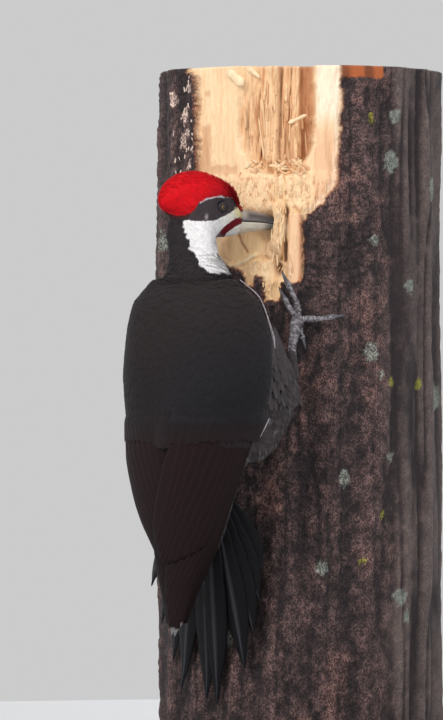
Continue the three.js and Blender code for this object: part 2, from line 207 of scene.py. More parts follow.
def rough(x, y, z=0.0, seed=0, layers=3):
    """Noise with finer and weaker noise on it."""
    layered = [noise(x * 2**k, y * 2**k, z * 2**k, seed + k) / 2**k for k in range(layers)]
    return sum(layered) / 1.5


def linear(colour):
    """A colour as a screen shows it, from 0 to 1, as light."""
    c = np.asarray(colour, float)[..., :3]
    return np.where(c <= 0.04045, c / 12.92, ((c + 0.055) / 1.055) ** 2.4)


# ---------- meshes ----------
class Parts:
    """Closed forms gathered into one mesh, with a colour and other values at each vertex."""

    def __init__(self):
        self.points, self.faces, self.values, self.count = [], [], {}, 0

    def add(self, points, faces, **values):
        points = np.asarray(points).reshape(-1, 3)
        self.points.append(points)
        self.faces += [tuple(i + self.count for i in face) for face in faces]
        for name, value in values.items():
            value = np.asarray(value, float)
            each = value if len(value) == len(points) else np.broadcast_to(value, (len(points), len(value)))
            self.values.setdefault(name, []).append(each)
        self.count += len(points)

    def made(self, name, material):
        values = {key: np.concatenate(value) for key, value in self.values.items()}
        return made(name, np.concatenate(self.points), self.faces, material, values)


def made(name, points, faces, material, values=None):
    """A smooth-shaded object from points in millimetres, its faces turned outwards."""
    mesh = bpy.data.meshes.new(name)
    mesh.from_pydata((np.asarray(points) * MM).tolist(), [], faces)
    mesh.materials.append(material)
    for key, value in (values or {}).items():
        store(mesh, key, value)
    turned = bmesh.new()
    turned.from_mesh(mesh)
    bmesh.ops.recalc_face_normals(turned, faces=turned.faces)
    turned.to_mesh(mesh)
    turned.free()
    mesh.polygons.foreach_set("use_smooth", np.ones(len(mesh.polygons), bool))
    mesh.update()
    return linked(name, mesh)


def linked(name, mesh):
    piece = bpy.data.objects.new(name, mesh)
    bpy.context.scene.collection.objects.link(piece)
    return piece


def store(mesh, name, value):
    """One value for each vertex: a number, a vector, or a colour when its name ends in _colour."""
    value = np.asarray(value, float)
    old = mesh.attributes.get(name)
    if old:
        mesh.attributes.remove(old)
    if name.endswith("_colour"):
        colour = np.ones((len(mesh.vertices), 4))
        colour[:, :3] = np.clip(value[:, :3], 0, 1)
        mesh.color_attributes.new(name, "FLOAT_COLOR", "POINT").data.foreach_set("color", colour.ravel())
    elif value.ndim == 2:
        mesh.attributes.new(name, "FLOAT_VECTOR", "POINT").data.foreach_set("vector", value.ravel())
    else:
        mesh.attributes.new(name, "FLOAT", "POINT").data.foreach_set("value", value)


def gathered(collection, key, width=3):
    """One number, or a row of them, from each item of a collection."""
    value = np.zeros(len(collection) * width)
    collection.foreach_get(key, value)
    return value.reshape(-1, width) if width > 1 else value


def read(mesh, name, width=3):
    return gathered(mesh.attributes[name].data, "vector" if width == 3 else "value", width)


def places(mesh):
    return gathered(mesh.vertices, "co") / MM


def normals(mesh):
    return gathered(mesh.vertices, "normal")


def evaluated(piece):
    """The piece's mesh with its modifiers applied."""
    bpy.context.view_layer.update()
    return bpy.data.meshes.new_from_object(piece.evaluated_get(bpy.context.evaluated_depsgraph_get()))


def dropped(piece):
    data = piece.data
    bpy.data.objects.remove(piece)
    bpy.data.meshes.remove(data)


def strips(count, around, closed=False):
    """Faces between rows of points round a form. Closed joins the last row to the first one."""
    i, j = np.meshgrid(np.arange(count if closed else count - 1), np.arange(around), indexing="ij")
    here, below, beside = i * around, (i + 1) % count * around, (j + 1) % around
    return np.stack([here + j, here + beside, below + beside, below + j], axis=-1).reshape(-1, 4).tolist()


def tube(rows, first, last):
    """Rows of points round a closed form, with its two poles, as points and faces."""
    count, around = rows.shape[:2]
    points = np.concatenate([rows.reshape(-1, 3), [first], [last]])
    low, high, start = count * around, count * around + 1, (count - 1) * around
    faces = strips(count, around)
    faces += [(low, (j + 1) % around, j) for j in range(around)]
    faces += [(high, start + j, start + (j + 1) % around) for j in range(around)]
    return points, faces


def ring_of(rows, poles):
    """Values at the points of a tube: rows of them, then the two poles' own."""
    return np.concatenate([np.asarray(rows).reshape(-1, *np.shape(rows)[2:]), poles])


def along_line(line, radii, around, flat_normal, squash=1.0):
    """Rows of points round a line. Squash is how thick the form is along flat_normal, against its width."""
    tangents = unit(np.gradient(line, axis=0))
    across = unit(np.cross(tangents, np.asarray(flat_normal, float)))
    over = np.cross(across, tangents)
    angles = turns(around)
    radii = radii if np.ndim(radii) == 2 else radii[:, None]
    sideways = radii * np.cos(angles)
    upwards = radii * np.sin(angles) * squash
    return line[:, None] + sideways[..., None] * across[:, None] + upwards[..., None] * over[:, None]


def finished(piece, slot, *nodes):
    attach(piece, "root")
    if nodes:
        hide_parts(*nodes)
    return piece


# ---------- node trees ----------
def socket_of(sockets, name):
    """A socket by its number, or the one in use of that name."""
    if isinstance(name, int):
        return sockets[name]
    return next(s for s in sockets if s.name == name and s.enabled)


class Value:
    """One output of a node, with the arithmetic that the trees here use."""

    def __init__(self, graph, node, output=None):
        self.graph, self.node = graph, node
        self.socket = output or next((s for s in node.outputs if s.enabled), None)

    def __getitem__(self, name):
        return Value(self.graph, self.node, socket_of(self.node.outputs, name))


ARITHMETIC = {"add": "ADD", "sub": "SUBTRACT", "mul": "MULTIPLY", "truediv": "DIVIDE", "pow": "POWER"}
for _name, _operation in ARITHMETIC.items():
    setattr(Value, f"__{_name}__", lambda self, other, kind=_operation: self.graph.math_of(kind, self, other))
    setattr(Value, f"__r{_name}__", lambda self, other, kind=_operation: self.graph.math_of(kind, other, self))


class Graph:
    """Adds nodes to a tree."""

    def __init__(self, tree):
        self.tree = tree

    def add(self, kind, settings=None, inputs=None):
        """A node of that kind. Its settings are set first, then the values or links of its sockets."""
        node = self.tree.nodes.new(kind)
        for name, value in (settings or {}).items():
            if name == "stops":
                elements = node.color_ramp.elements
                while len(elements) < len(value):
                    elements.new(0.5)
                for element, (where, colour) in zip(elements, value):
                    element.position, element.color = where, (*colour, 1)
            else:
                setattr(node, name, value)
        for name, value in (inputs or {}).items():
            self.give(socket_of(node.inputs, name), value)
        return Value(self, node)

    def give(self, socket, value):
        if isinstance(value, Value):
            self.tree.links.new(value.socket, socket)
        else:
            socket.default_value = value

    def math_of(self, operation, *values):
        return self.add("ShaderNodeMath", {"operation": operation}, dict(enumerate(values)))

    def vector(self, operation, *values):
        settings = {"operation": operation}
        named = {"Scale" if operation == "SCALE" and i == 1 else i: v for i, v in enumerate(values)}
        return self.add("ShaderNodeVectorMath", settings, named)

    def attribute(self, name):
        return self.add("ShaderNodeAttribute", {"attribute_name": name})

    def texture_at(self, scale, stretch=(1, 1, 1), detail=3.0, roughness=0.55, wobble=0.0):
        """Noise on Object coordinates, scale in cells to the metre."""
        place = self.add("ShaderNodeTexCoord")["Object"]
        placed = self.add("ShaderNodeMapping", None, {"Vector": place, "Scale": stretch})
        return self.add("ShaderNodeTexNoise", None, {
            "Vector": placed, "Scale": scale, "Detail": detail, "Roughness": roughness,
            "Distortion": wobble})["Fac"]

    def blend(self, a, b, amount, mode="MIX"):
        settings = {"data_type": "RGBA", "blend_type": mode}
        colours = {"A": a if isinstance(a, Value) else (*a, 1), "B": b if isinstance(b, Value) else (*b, 1)}
        node = self.add("ShaderNodeMix", settings, {"Factor": amount, **colours})
        return Value(self, node.node, next(s for s in node.node.outputs if s.enabled))

    def times(self, colour, by):
        return self.blend(colour, by, 1.0, "MULTIPLY")

    def toned(self, colour, by, amount):
        """The colour multiplied by another one, as far as amount says."""
        return self.blend(colour, self.times(colour, by), amount)

    def ramp(self, value, low, high):
        """value spread from 0 at low to 1 at high."""
        spread = {"Value": value, "From Min": low, "From Max": high}
        return self.add("ShaderNodeMapRange", {"clamp": True}, spread)


def material(name, build, **sockets):
    """A material whose build(graph) gives its colour and roughness.

    It may give a bump's height, strength and depth too. The other keywords are sockets of its shader.
    """
    finish = bpy.data.materials.new(name)
    finish.use_nodes = True
    shader = next(n for n in finish.node_tree.nodes if n.type == "BSDF_PRINCIPLED")
    graph = Graph(finish.node_tree)
    look = build(graph)
    given = {key.replace("_", " ").title().replace("Ior", "IOR"): value for key, value in sockets.items()}
    given |= {"Base Color": look["colour"], "Roughness": look["roughness"]}
    if "height" in look:
        bumped = {"Height": look["height"], "Strength": look["strength"], "Distance": look["depth"]}
        given["Normal"] = graph.add("ShaderNodeBump", None, bumped)
    for key, value in given.items():
        graph.give(shader.inputs[key], value)
    return finish


# ---------- forms of the bird ----------
# height, side, out, half width, depth to the back: the bed that the folded wings lie on
bed = through([
    (122, -28.5, 153, 3, 2.5), (151.6, -23.5, 157, 11, 6), (188.6, -16.5, 163, 24, 14),
    (225.6, -13, 169.5, 36, 24), (262.6, -6.5, 176, 45, 34.5), (299.6, 2, 182, 54, 43),
    (336.6, 6, 186, 54, 43), (373.6, 4, 184, 46, 38), (391, 1, 178, 30, 26),
])
# height, then the degrees from mid-back to the right wing's inner edge, the left one's, and the outer edge
wing_edges = through([
    (122, -80, -30, 80), (151.6, -75, -25, 88), (188.6, -50, -22, 93), (225.6, -19, -12, 97),
    (262.6, -4, -3, 101), (290, -1, 2, 106), (336.6, 10, 13, 108), (373.6, 22, 22, 102), (391, 44, 44, 84),
])


def on_wing(sign, across, height, lift):
    """Places on a folded wing. Across runs from 0 at its inner edge to 1. The right wing is on top."""
    across, height, lift = np.broadcast_arrays(np.asarray(across, float), np.asarray(height, float), lift)
    side, out, half_width, back = np.moveaxis(bed(height), -1, 0)
    right_inner, left_inner, outer = np.moveaxis(wing_edges(height), -1, 0)
    degrees = mixed(right_inner if sign > 0 else left_inner, outer, across)
    low = 1 - eased(height, 290, 325)
    crossing = 4 * (1 - eased(degrees, 34, 62)) * low if sign > 0 else 0
    raised = lift * (1 - 0.35 * low * (sign < 0)) + crossing
    turn = sign * np.radians(degrees)
    if sign < 0:
        half_width = half_width + 5.0 * band(height, 190, 272, 20)
    x = side + (half_width + raised) * np.sin(turn)
    y = -(out + (back + raised) * np.cos(turn))
    return from_bird(stacked(x, y, height))


# Where the markings lie on the side of the head: forward of its middle, then above it. Forward has SIDE_LEAN
# of the distance from the head's middle plane added, so that the cheeks' roundness is taken in.
SIDE_LEAN = 0.466
RED_EDGE = np.array([(-44, -6.9), (-40.8, -6.9), (-28, -9.3), (-17.5, -8.9), (-13, -4.7), (-9.6, 1.6),
                     (-5, 4.7), (4.5, 8.3), (16.7, 9.0), (19.5, 6.0), (22.5, 2.2), (25, -0.5)])
MASK_EDGE = np.array([(-21.4, -12), (-11.5, -12.8), (-3.4, -11.8), (4.6, -10.2), (14.7, -4.4), (22.4, 2.0)])
NAPE_EDGE = np.array([(-31.5, -13.6), (-26.7, -16.3), (-21, -18.6), (-9.6, -24)])  # above, then forward
MALAR = np.array([(27.5, -6.4), (25.4, -7.0), (20, -10.6), (13.6, -16.0), (8.6, -22.3)])


def polyline_distance(x, y, line, closed=False):
    """Distance to a line of points, and how far along it from 0 to 1 the nearest place is."""
    line = np.asarray(line, float)
    ends = np.roll(line, -1, axis=0) if closed else line[1:]
    starts = line if closed else line[:-1]
    best, along = np.full(np.shape(x), 1e9), np.zeros(np.shape(x))
    for k, (a, b) in enumerate(zip(starts, ends)):
        span = b - a
        t = np.clip(((x - a[0]) * span[0] + (y - a[1]) * span[1]) / (span @ span), 0, 1)
        away = np.hypot(x - a[0] - t * span[0], y - a[1] - t * span[1])
        along = np.where(away < best, (k + t) / len(starts), along)
        best = np.minimum(best, away)
    return best, along


def head_colours(head, hues):
    """Colours on the head from places in its own axes."""
    right, ahead, up = np.moveaxis(head, -1, 0)
    ahead = ahead + SIDE_LEAN * np.abs(right)
    ragged = 0.7 * noise(ahead / 1.4, right / 1.4, up / 1.4, 3)
    side_up = up + ragged * 0.45
    grey = eased(ahead, 2, 12) * eased(-up, 19, 26)
    nape = np.interp(up, *NAPE_EDGE.T) + 1.6 * noise(up / 2.0, right / 2.6, 0, 5)
    away, along = polyline_distance(ahead, up + 0.25 * ragged, MALAR)
    stripe = (away < mixed(2.9, 2.2, along)) & (np.abs(right) > 1.5)
    red_edge = np.interp(ahead, *RED_EDGE.T)
    mask = (side_up > np.interp(ahead, *MASK_EDGE.T, left=-7)) & (ahead > -22) & (ahead < 23.5)
    line = (side_up > red_edge - 1.2 - 0.3 * ragged) & (ahead > -9) & (ahead < 17)
    red = side_up > red_edge
    deep = np.clip(0.75 * eased(ahead, -10, 22) + 0.45 * bump(up - red_edge, 0, 4), 0, 1)
    return painted(
        np.broadcast_to(hues["white"], head.shape), hues,
        ("cream", 0.75 * eased(ahead, 4, 22) * eased(up, -22, -6)),
        ("mottle", 0.5 * grey * (0.5 + 0.5 * noise(ahead / 2, up / 2, right / 2, 4))),
        ("nape", ahead < nape),
        (washed(hues["malar"], hues["mottle"] * 0.8, eased(along, 0.82, 1.0)), stripe),
        (washed(hues["mask"], hues["nape"], 0.55 * bump(ahead, 8, 7) * bump(up, 3, 4)), mask),
        ("brow", 0.8 * bump(ahead, -2.6, 1.0) * bump(up, -8.6, 2.0)),
        (washed(hues["nape"], hues["rear_blend"], eased(up, -14, -9)), (side_up > -13) & (ahead < -18)),
        (washed(hues["brow"], hues["mask"], 0.75 * eased(ahead, 5, 15)), line),
        (washed(hues["red"], hues["deep_red"], deep), red),
        ("lores", 0.8 * eased(ahead, 18.5, 22) * band(up, -5.0, 2.0, 1.2) * ~red))


def neck_turn(bird):
    """Degrees round the neck's own middle from the way the head faces, positive to the bird's right."""
    height = bird[..., 2]
    middle = through([(378, 3, -180), (392, -2, -174.5), (401.7, -7.5, -169.5), (410.6, -12, -164),
                      (420, -15.5, -160), (430, -16.5, -155.5), (441, -12, -150)])(height)
    x, y = bird[..., 0] - middle[..., 0], bird[..., 1] - middle[..., 1]
    return np.degrees(np.arctan2(x, y)) - math.degrees(HEAD_TURN)


def body_colours(bird, hues):
    """Colours on the neck and the body from places in the bird's axes."""
    side, inward, height = np.moveaxis(bird, -1, 0)
    # The upper back's own brown carries a painted sheen, and the side towards -X, which faces the key light,
    # takes a painted sheen too.
    brown_and_sheen = np.clip(eased(height, 300, 380) + eased(-from_bird(bird)[..., 0], 60, 110) * 0.6, 0, 1)
    turn = neck_turn(bird)
    centre = mixed(141.0, 180.0, eased(height, 392, 430))
    ragged = 5 * noise(height / 3.0, turn / 11.0, 0, 6)
    beyond = (turn - centre + 180) % 360 - 180  # more than 0 on the bird's left
    left = eased(beyond, 0, 20)
    hind = np.abs(beyond) + ragged - 22 * left < mixed(53.0, 42.0, eased(height, 389, 397))
    fore_off = np.abs((turn - centre + 360) % 360 - 180) + ragged
    fore = (fore_off < 48) & (height < 421 - 0.004 * fore_off**2)
    white = ~hind & ~fore & (height > 392.5 + 16 * left + 0.6 * noise(side / 3, inward / 3, 0, 7))
    belly = eased(-inward, 186, 156) * (height < 386)
    mottled = hues["flank"] * (1 + 0.35 * noise(side / 3.0, inward / 3.0, height / 5.0, 9))[..., None]
    arcs = bump(noise(side / 7.0, inward / 7.0, height / 4.5, 8), 0.22, 0.05)
    arcs = arcs * (belly > 0.5) * (np.abs(side - 6) > 24)
    return painted(washed(hues["back_cool"], hues["back"], brown_and_sheen), hues, ("white", white),
                   ("nape", ~white & (height > 389)), (mottled, belly), ("white", 0.16 * arcs))


def mantle_colours(bird, hues):
    """The back's own colours, with none of the neck's white, and brown towards the coverts."""
    colour = body_colours(np.concatenate([bird[..., :2], np.minimum(bird[..., 2:], 386)], axis=-1), hues)
    return washed(colour, hues["covert"], 0.9 * eased(bird[..., 2], 298, 268))


def plumage_colours(world, hues):
    """The bird's markings at places in the model's frame. The skin and each coat take their colours here."""
    bird, head = in_bird(world), in_head(world)
    height = bird[..., 2]
    on_head = (height > 413) & (head[..., 1] > -60)
    colour = np.where(on_head[..., None], head_colours(head, hues), body_colours(bird, hues))
    ahead = head[..., 1] + SIDE_LEAN * np.abs(head[..., 0])
    mottled = 0.5 + 0.5 * noise(ahead / 1.8, head[..., 2] / 1.8, 0, 10)
    throat = bump(ahead, 7, 4.5) * bump(head[..., 2], -29, 4.5) * mottled
    return washed(colour, hues["mottle"], 0.9 * throat)


# ---------- finishes ----------
def feather_finish(name, sheen=0.03, roughness=0.75, barbs=0.25, specular=0.16):
    """Feathers in their own colours, with fine barbs running out from each shaft."""

    def look(g):
        colour, soft = g.attribute("plumage_colour")["Color"], g.texture_at(420, detail=2)
        lines = g.math_of("SINE", g.attribute("barb")["Fac"] * 9.0)
        return {"colour": g.toned(colour, (0.35, 0.33, 0.33), (1 - soft) * 0.5),
                "roughness": roughness + (soft - 0.5) * 0.25,
                "height": lines * 0.5 + soft, "strength": barbs, "depth": 0.0002}

    return material(name, look, sheen_weight=sheen, sheen_roughness=0.45, specular_ior_level=specular)


def horn_finish(name, attribute, roughness):
    def look(g):
        colour = g.attribute(attribute)["Color"]
        grain, worn = g.texture_at(300, stretch=(0.35, 0.6, 1.6), detail=4), g.texture_at(90, detail=3)
        return {"colour": g.toned(colour, (0.55, 0.52, 0.5), g.ramp(grain, 0.45, 0.8) * 0.5),
                "roughness": roughness + g.ramp(worn, 0.35, 0.75) * 0.22,
                "height": grain, "strength": 0.35, "depth": 0.00025}

    return material(name, look, coat_weight=0.12)


# ---------- skin ----------
FLESH = ("body", "head", "neck", "crest", "leg_right_thigh", "leg_left_thigh", "wing_right_coverts",
         "wing_left_coverts")
SWELL, VOXEL = 0.5, 1.9


def welded(nodes, swell):
    """Copies of the nodes' solids in one mesh, each swollen a little so that the gaps between them close."""
    together = bmesh.new()
    for node in nodes:
        one = bmesh.new()
        one.from_mesh(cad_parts[node].data)
        bmesh.ops.remove_doubles(one, verts=one.verts, dist=1e-5)
        one.normal_update()
        for vertex in one.verts:
            vertex.co += vertex.normal * swell * MM
        copy = bpy.data.meshes.new("copy")
        one.to_mesh(copy)
        one.free()
        together.from_mesh(copy)
        bpy.data.meshes.remove(copy)
    mesh = bpy.data.meshes.new("welded")
    together.to_mesh(mesh)
    together.free()
    return mesh


def one_surface(mesh, voxel, rounds):
    """The outermost closed surface round everything in the mesh, smoothed."""
    rough_piece = linked("rough", mesh)
    remesh = rough_piece.modifiers.new("Voxels", "REMESH")
    remesh.mode, remesh.voxel_size = "VOXEL", voxel * MM
    smooth = rough_piece.modifiers.new("Smooth", "SMOOTH")
    smooth.factor, smooth.iterations = 0.5, rounds
    result = evaluated(rough_piece)
    dropped(rough_piece)
    a, b = ends_of_edges(result)
    island = np.arange(len(result.vertices))  # the lowest number of a vertex that each one is joined to
    while True:
        lower = island.copy()
        np.minimum.at(lower, a, island[b])
        np.minimum.at(lower, b, island[a])
        if (lower[lower] == island).all():
            break
        island = lower[lower]
    outer = island == np.bincount(island).argmax()
    shell = bmesh.new()
    shell.from_mesh(result)
    spare = [vertex for vertex in shell.verts if not outer[vertex.index]]
    bmesh.ops.delete(shell, geom=spare, context="VERTS")
    shell.to_mesh(result)
    shell.free()
    return result


def ends_of_edges(mesh):
    edges = np.zeros(len(mesh.edges) * 2, np.int32)
    mesh.edges.foreach_get("vertices", edges)
    return edges.reshape(-1, 2).T


def relaxed(mesh, values, weight, rounds):
    """Values at the vertices, mixed by weight with their neighbours' mean, as often as rounds says."""
    a, b = ends_of_edges(mesh)
    size = len(values)
    shared = np.bincount(a, minlength=size) + np.bincount(b, minlength=size)
    for _ in range(rounds):
        around = [np.bincount(a, column[b], size) + np.bincount(b, column[a], size) for column in values.T]
        values = mixed(values, np.stack(around, axis=-1) / shared[:, None], weight[:, None])
    return values


def wing_cover(bird):
    """How far a place lies inside the folded wings' outline, in degrees, seen round the body."""
    side, out, half_width, back = np.moveaxis(bed(bird[..., 2]), -1, 0)
    turn = np.degrees(np.arctan2((bird[..., 0] - side) / half_width, (-bird[..., 1] - out) / back))
    outer = wing_edges(bird[..., 2])[..., 2]
    return outer - np.abs(turn), turn


# A thigh's bones, as places sideways, outwards and up
THIGH = [(26, 156, 250), (35, 145, 272), (42, 134, 300), (46, 121.5, 331)]


def thigh_nearness(bird, sign):
    """How far places are from the bones of a thigh."""
    drop = 0 if sign > 0 else FOOT["left_drop"]
    line = curve([(FOOT["middle"] + sign * side, -out, height - drop) for side, out, height in THIGH], 24)
    return np.linalg.norm(bird[:, None] - line[None], axis=-1).min(axis=1)


def skin_fields(points=None, normal=None):
    """The lie of the coat over the skin: its direction, and which kind of feather grows where."""
    if points is None:
        skin = bpy.data.objects["skin"].data
        points, normal = places(skin), read(skin, "skin_normal")
    bird, head = in_bird(points), in_head(points)
    height, ahead, up = bird[:, 2], head[:, 1], head[:, 2]
    backwards = -(HEAD_AXES[:, 1] @ BIRD_AXES.T)
    head_up = HEAD_AXES[:, 2] @ BIRD_AXES.T
    down = np.array([0.0, 0.0, -1.0])
    neck_way = np.array([0.32, -0.42, -0.85]) @ BIRD_AXES.T
    red_edge = np.interp(ahead + SIDE_LEAN * np.abs(head[:, 0]), RED_EDGE[:, 0], RED_EDGE[:, 1])
    red = eased(up - red_edge, -0.8, 0.8) * (height > 413)
    sink = mixed(0.35 + 1.3 * eased(-ahead, 8, 36), 0.12, red)
    on_head = backwards + sink[:, None] * -head_up
    on_head = np.where(((ahead > 20) & (up > -7) & (up < 4))[:, None], -backwards + 0.2 * head_up, on_head)
    flow = washed(on_head, neck_way, 1 - eased(height, 408, 430))
    inwards = -0.35 * (bird[:, 0] - 2)[:, None] / 50 * BIRD_AXES[:, 0]
    below = down + inwards * (1 - eased(height, 230, 330))[:, None]
    flow = washed(flow, below, 1 - eased(height, 385, 402))
    flow -= (flow * normal).sum(axis=1)[:, None] * normal
    flow /= np.maximum(np.linalg.norm(flow, axis=1, keepdims=True), 1e-6)
    eye_away = np.full(len(points), 99.0)
    for sign in (1, -1):
        middle, gaze, _, _ = eye_axes(sign)
        apart = head - middle
        beside = np.linalg.norm(apart - (apart @ gaze)[:, None] * gaze, axis=1)
        eye_away = np.where(apart @ gaze > 0, np.minimum(eye_away, beside), eye_away)
    cover, _ = wing_cover(bird)
    thigh = np.minimum(thigh_nearness(bird, 1), thigh_nearness(bird, -1)) < 20
    is_head = eased(height + 0.25 * ahead - 0.3 * up, 415, 421)
    return {
        "flow": flow, "red": red, "eye_away": eye_away, "is_head": is_head,
        "is_neck": eased(height, 384, 389) * (1 - is_head),
        "is_back": (cover > -3) * (1 - eased(height, 387, 393)) * (height > 270),
        "is_thigh": thigh * (height < 345) * (cover < 3),
        "cover": cover, "head": head, "bird": bird, "normal": normal,
    }


def make_skin(hues):
    mesh = one_surface(welded(FLESH, SWELL), VOXEL, 14)
    points = places(mesh)
    bird = in_bird(points)
    _, turn = wing_cover(bird)
    groove = band(bird[:, 2], 276, 384, 10) * (1 - eased(np.abs(turn - 4), 48, 72))
    lifted = relaxed(mesh, points, 0.7 * groove, 90)
    middle = from_bird(np.column_stack([bird[:, 0] * 0, bird[:, 1] * 0 - 176, bird[:, 2]]))
    points = lifted + unit(points - middle) * (1.5 * groove)[:, None]
    mesh.vertices.foreach_set("co", (points * MM).ravel())
    mesh.update()
    normal = unit(relaxed(mesh, normals(mesh), np.full(len(points), 0.6), 4))
    field = skin_fields(points, normal)
    ahead = field["head"][:, 1]
    depth = mixed(3.6, 2.8, eased(field["cover"], -5, 5))
    depth = mixed(depth, 2.4, eased(field["bird"][:, 2], 385, 400))
    depth = mixed(depth, 1.0, field["is_head"] * (1 - field["red"]))
    depth = mixed(depth, mixed(1.6, 0.7, eased(ahead, 10, 18)), field["red"])
    depth -= 0.8 * bump(field["eye_away"], 5.2, 1.6)
    depth -= 1.6 * eased(normal[:, 0], 0.1, 0.8) * band(field["bird"][:, 2], 396, 424, 8)
    points = points - normal * (depth + SWELL)[:, None]
    mesh.vertices.foreach_set("co", (points * MM).ravel())
    mesh.update()
    mesh.name = "skin"
    # The skin takes the markings at 0.9 of their brightness: painted shade under the coat.
    store(mesh, "plumage_colour", 0.9 * plumage_colours(points, hues))
    store(mesh, "skin_normal", unit(relaxed(mesh, normals(mesh), np.full(len(points), 0.6), 12)))
    mesh.materials.append(feather_finish("Down under the coat", barbs=0.1))
    mesh.polygons.foreach_set("use_smooth", np.ones(len(mesh.polygons), bool))
    piece = linked("skin", mesh)
    unwrapped(piece)
    return piece


def unwrapped(piece):
    """Gives the piece a UV map named OFBake on its own shape."""
    piece.data.uv_layers.new(name="OFBake")
    bpy.context.view_layer.objects.active = piece
    piece.select_set(True)
    bpy.ops.object.mode_set(mode="EDIT")
    bpy.ops.mesh.select_all(action="SELECT")
    bpy.ops.uv.smart_project(angle_limit=math.radians(66), island_margin=0.004)
    bpy.ops.object.mode_set(mode="OBJECT")
    piece.select_set(False)


# ---------- coat ----------
COAT = "Coat of vanes"
PATCH = 0.003  # size of a feather's own patch on the map OFBake


def tuft_template(name, blades, rows):
    """Closed tapered blades along +Y, one unit long. Their attribute vane is (sideways, forward, upper)."""
    parts = Parts()
    t = inner_steps(rows)[:, None]
    sides, upper = np.array([-1.0, 0.0, 1.0, 0.0]), np.array([0.0, 1.0, 0.0, 0.0])
    for root, tip, length, half, fullest in blades:
        tapered = 1 - ((t - fullest) / (1 - fullest)) ** 2
        wide = half * np.where(t < fullest, (t / fullest) ** 0.6, tapered)
        rings = stacked(mixed(root, tip, t**1.3) + wide * sides, t * length, 0.0)
        points, faces = tube(rings, (root, 0, 0), (tip, length, 0))
        vane = stacked(sides + 0 * t, t * length, upper)
        parts.add(points, faces, vane=ring_of(vane, [(0, 0, 0), (0, length, 0.2)]))
    mesh = bpy.data.meshes.new(name)
    mesh.from_pydata(np.concatenate(parts.points).tolist(), [], parts.faces)
    store(mesh, "vane", np.concatenate(parts.values["vane"]))
    mesh.polygons.foreach_set("use_smooth", np.ones(len(mesh.polygons), bool))
    return linked(name, mesh)


def coat_tree():
    """Geometry Nodes that scatter vanes over a skin by its pick and lay them on it along its flow."""
    tree = bpy.data.node_groups.new(COAT, "GeometryNodeTree")
    g = Graph(tree)
    kinds = {"Skin": "Geometry", "Vane": "Object", "Seed": "Int", "Finish": "Material"}
    for name in ("Skin", "Vane", "Spacing", "Density", "Tousle", "Seat", "Thickness", "Camber", "Patch",
                 "Unevenness", "Seed", "Finish"):
        tree.interface.new_socket(name, in_out="INPUT", socket_type="NodeSocket" + kinds.get(name, "Float"))
    tree.interface.new_socket("Coat", in_out="OUTPUT", socket_type="NodeSocketGeometry")
    given = g.add("NodeGroupInput")  # its sockets are the coat's sizes

    def held(name, kind="FLOAT_VECTOR"):
        return g.add("GeometryNodeInputNamedAttribute", {"data_type": kind}, {"Name": name})["Attribute"]

    def random(low, high, seed):
        inputs = {"Min": low, "Max": high, "Seed": given["Seed"] + seed}
        return g.add("FunctionNodeRandomValue", {"data_type": "FLOAT"}, inputs)

    def keep(geometry, name, value, kind="FLOAT_VECTOR", domain="POINT"):
        return g.add("GeometryNodeStoreNamedAttribute", {"data_type": kind, "domain": domain},
                     {"Geometry": geometry, "Name": name, "Value": value})

    def skin_at(value, place):
        inputs = {"Mesh": given["Skin"], "Value": value, "Sample Position": place}
        return g.add("GeometryNodeSampleNearestSurface", {"data_type": "FLOAT_VECTOR"}, inputs)["Value"]

    def apart(vector):
        return g.add("ShaderNodeSeparateXYZ", None, {"Vector": vector})

    def joined(x, y, z):
        return g.add("ShaderNodeCombineXYZ", None, {"X": x, "Y": y, "Z": z})

    def beyond(start, way, length):
        return g.vector("ADD", start, g.vector("SCALE", way, length))

    pick = held("pick", "FLOAT")
    grown = g.add("GeometryNodeDeleteGeometry", {"domain": "FACE"},
                  {"Geometry": given["Skin"], "Selection": g.math_of("LESS_THAN", pick, 0.01)})
    scattered = g.add(
        "GeometryNodeDistributePointsOnFaces", {"distribute_method": "POISSON"},
        {"Mesh": grown, "Distance Min": given["Spacing"], "Density Max": given["Density"],
         "Density Factor": pick, "Seed": given["Seed"]})
    position, size = g.add("GeometryNodeInputPosition"), apart(held("size"))
    stray = joined(random(-1, 1, 1), random(-1, 1, 2), random(-1, 1, 3))
    way = g.vector("NORMALIZE", beyond(held("flow"), stray, given["Tousle"]))
    turned = g.add("FunctionNodeAxesToRotation", {"primary_axis": "Z", "secondary_axis": "Y"},
                   {"Primary Axis": held("skin_normal"), "Secondary Axis": way})
    length = size["Y"] * random(0.82, 1.18, 4)
    rise = size["Z"] * random(1 - given["Unevenness"], 1 + given["Unevenness"], 7)
    points = keep(scattered["Points"], "tip", beyond(position, way, length * 0.8))
    points = keep(points, "tint", random(0, 1, 6), "FLOAT")
    points = keep(points, "rise", rise, "FLOAT")
    points = keep(points, "root_place", skin_at(held("OFBake"), position))
    vane = g.add("GeometryNodeObjectInfo", {"transform_space": "ORIGINAL"}, {"Object": given["Vane"]})
    laid = g.add("GeometryNodeInstanceOnPoints", None,
                 {"Points": points, "Instance": vane["Geometry"], "Rotation": turned,
                  "Scale": joined(size["X"] * random(0.85, 1.15, 5), length, 1.0)})
    real = g.add("GeometryNodeRealizeInstances", None, {"Geometry": laid})
    own = apart(held("vane"))
    along, across, face = own["Y"], own["X"], own["Z"]
    full = given["Thickness"] + (1 - across * across) * given["Camber"]
    height = given["Seat"] + held("rise", "FLOAT") * along**1.25 + full * face
    skin_normal = skin_at(held("skin_normal"), position)
    seat = beyond(skin_at(position, position), skin_normal, height)
    bent = g.add("GeometryNodeSetPosition", None,
                 {"Geometry": keep(real, "lie", skin_normal), "Position": seat})
    patch = beyond(held("root_place"), joined(across * 0.5, along - 0.5, 0.0), given["Patch"])
    mapped = keep(bent, "OFBake", patch, "FLOAT2", "CORNER")
    g.add("NodeGroupOutput", None, {
        "Coat": g.add("GeometryNodeSetMaterial", None, {"Geometry": mapped, "Material": given["Finish"]})})
    return tree


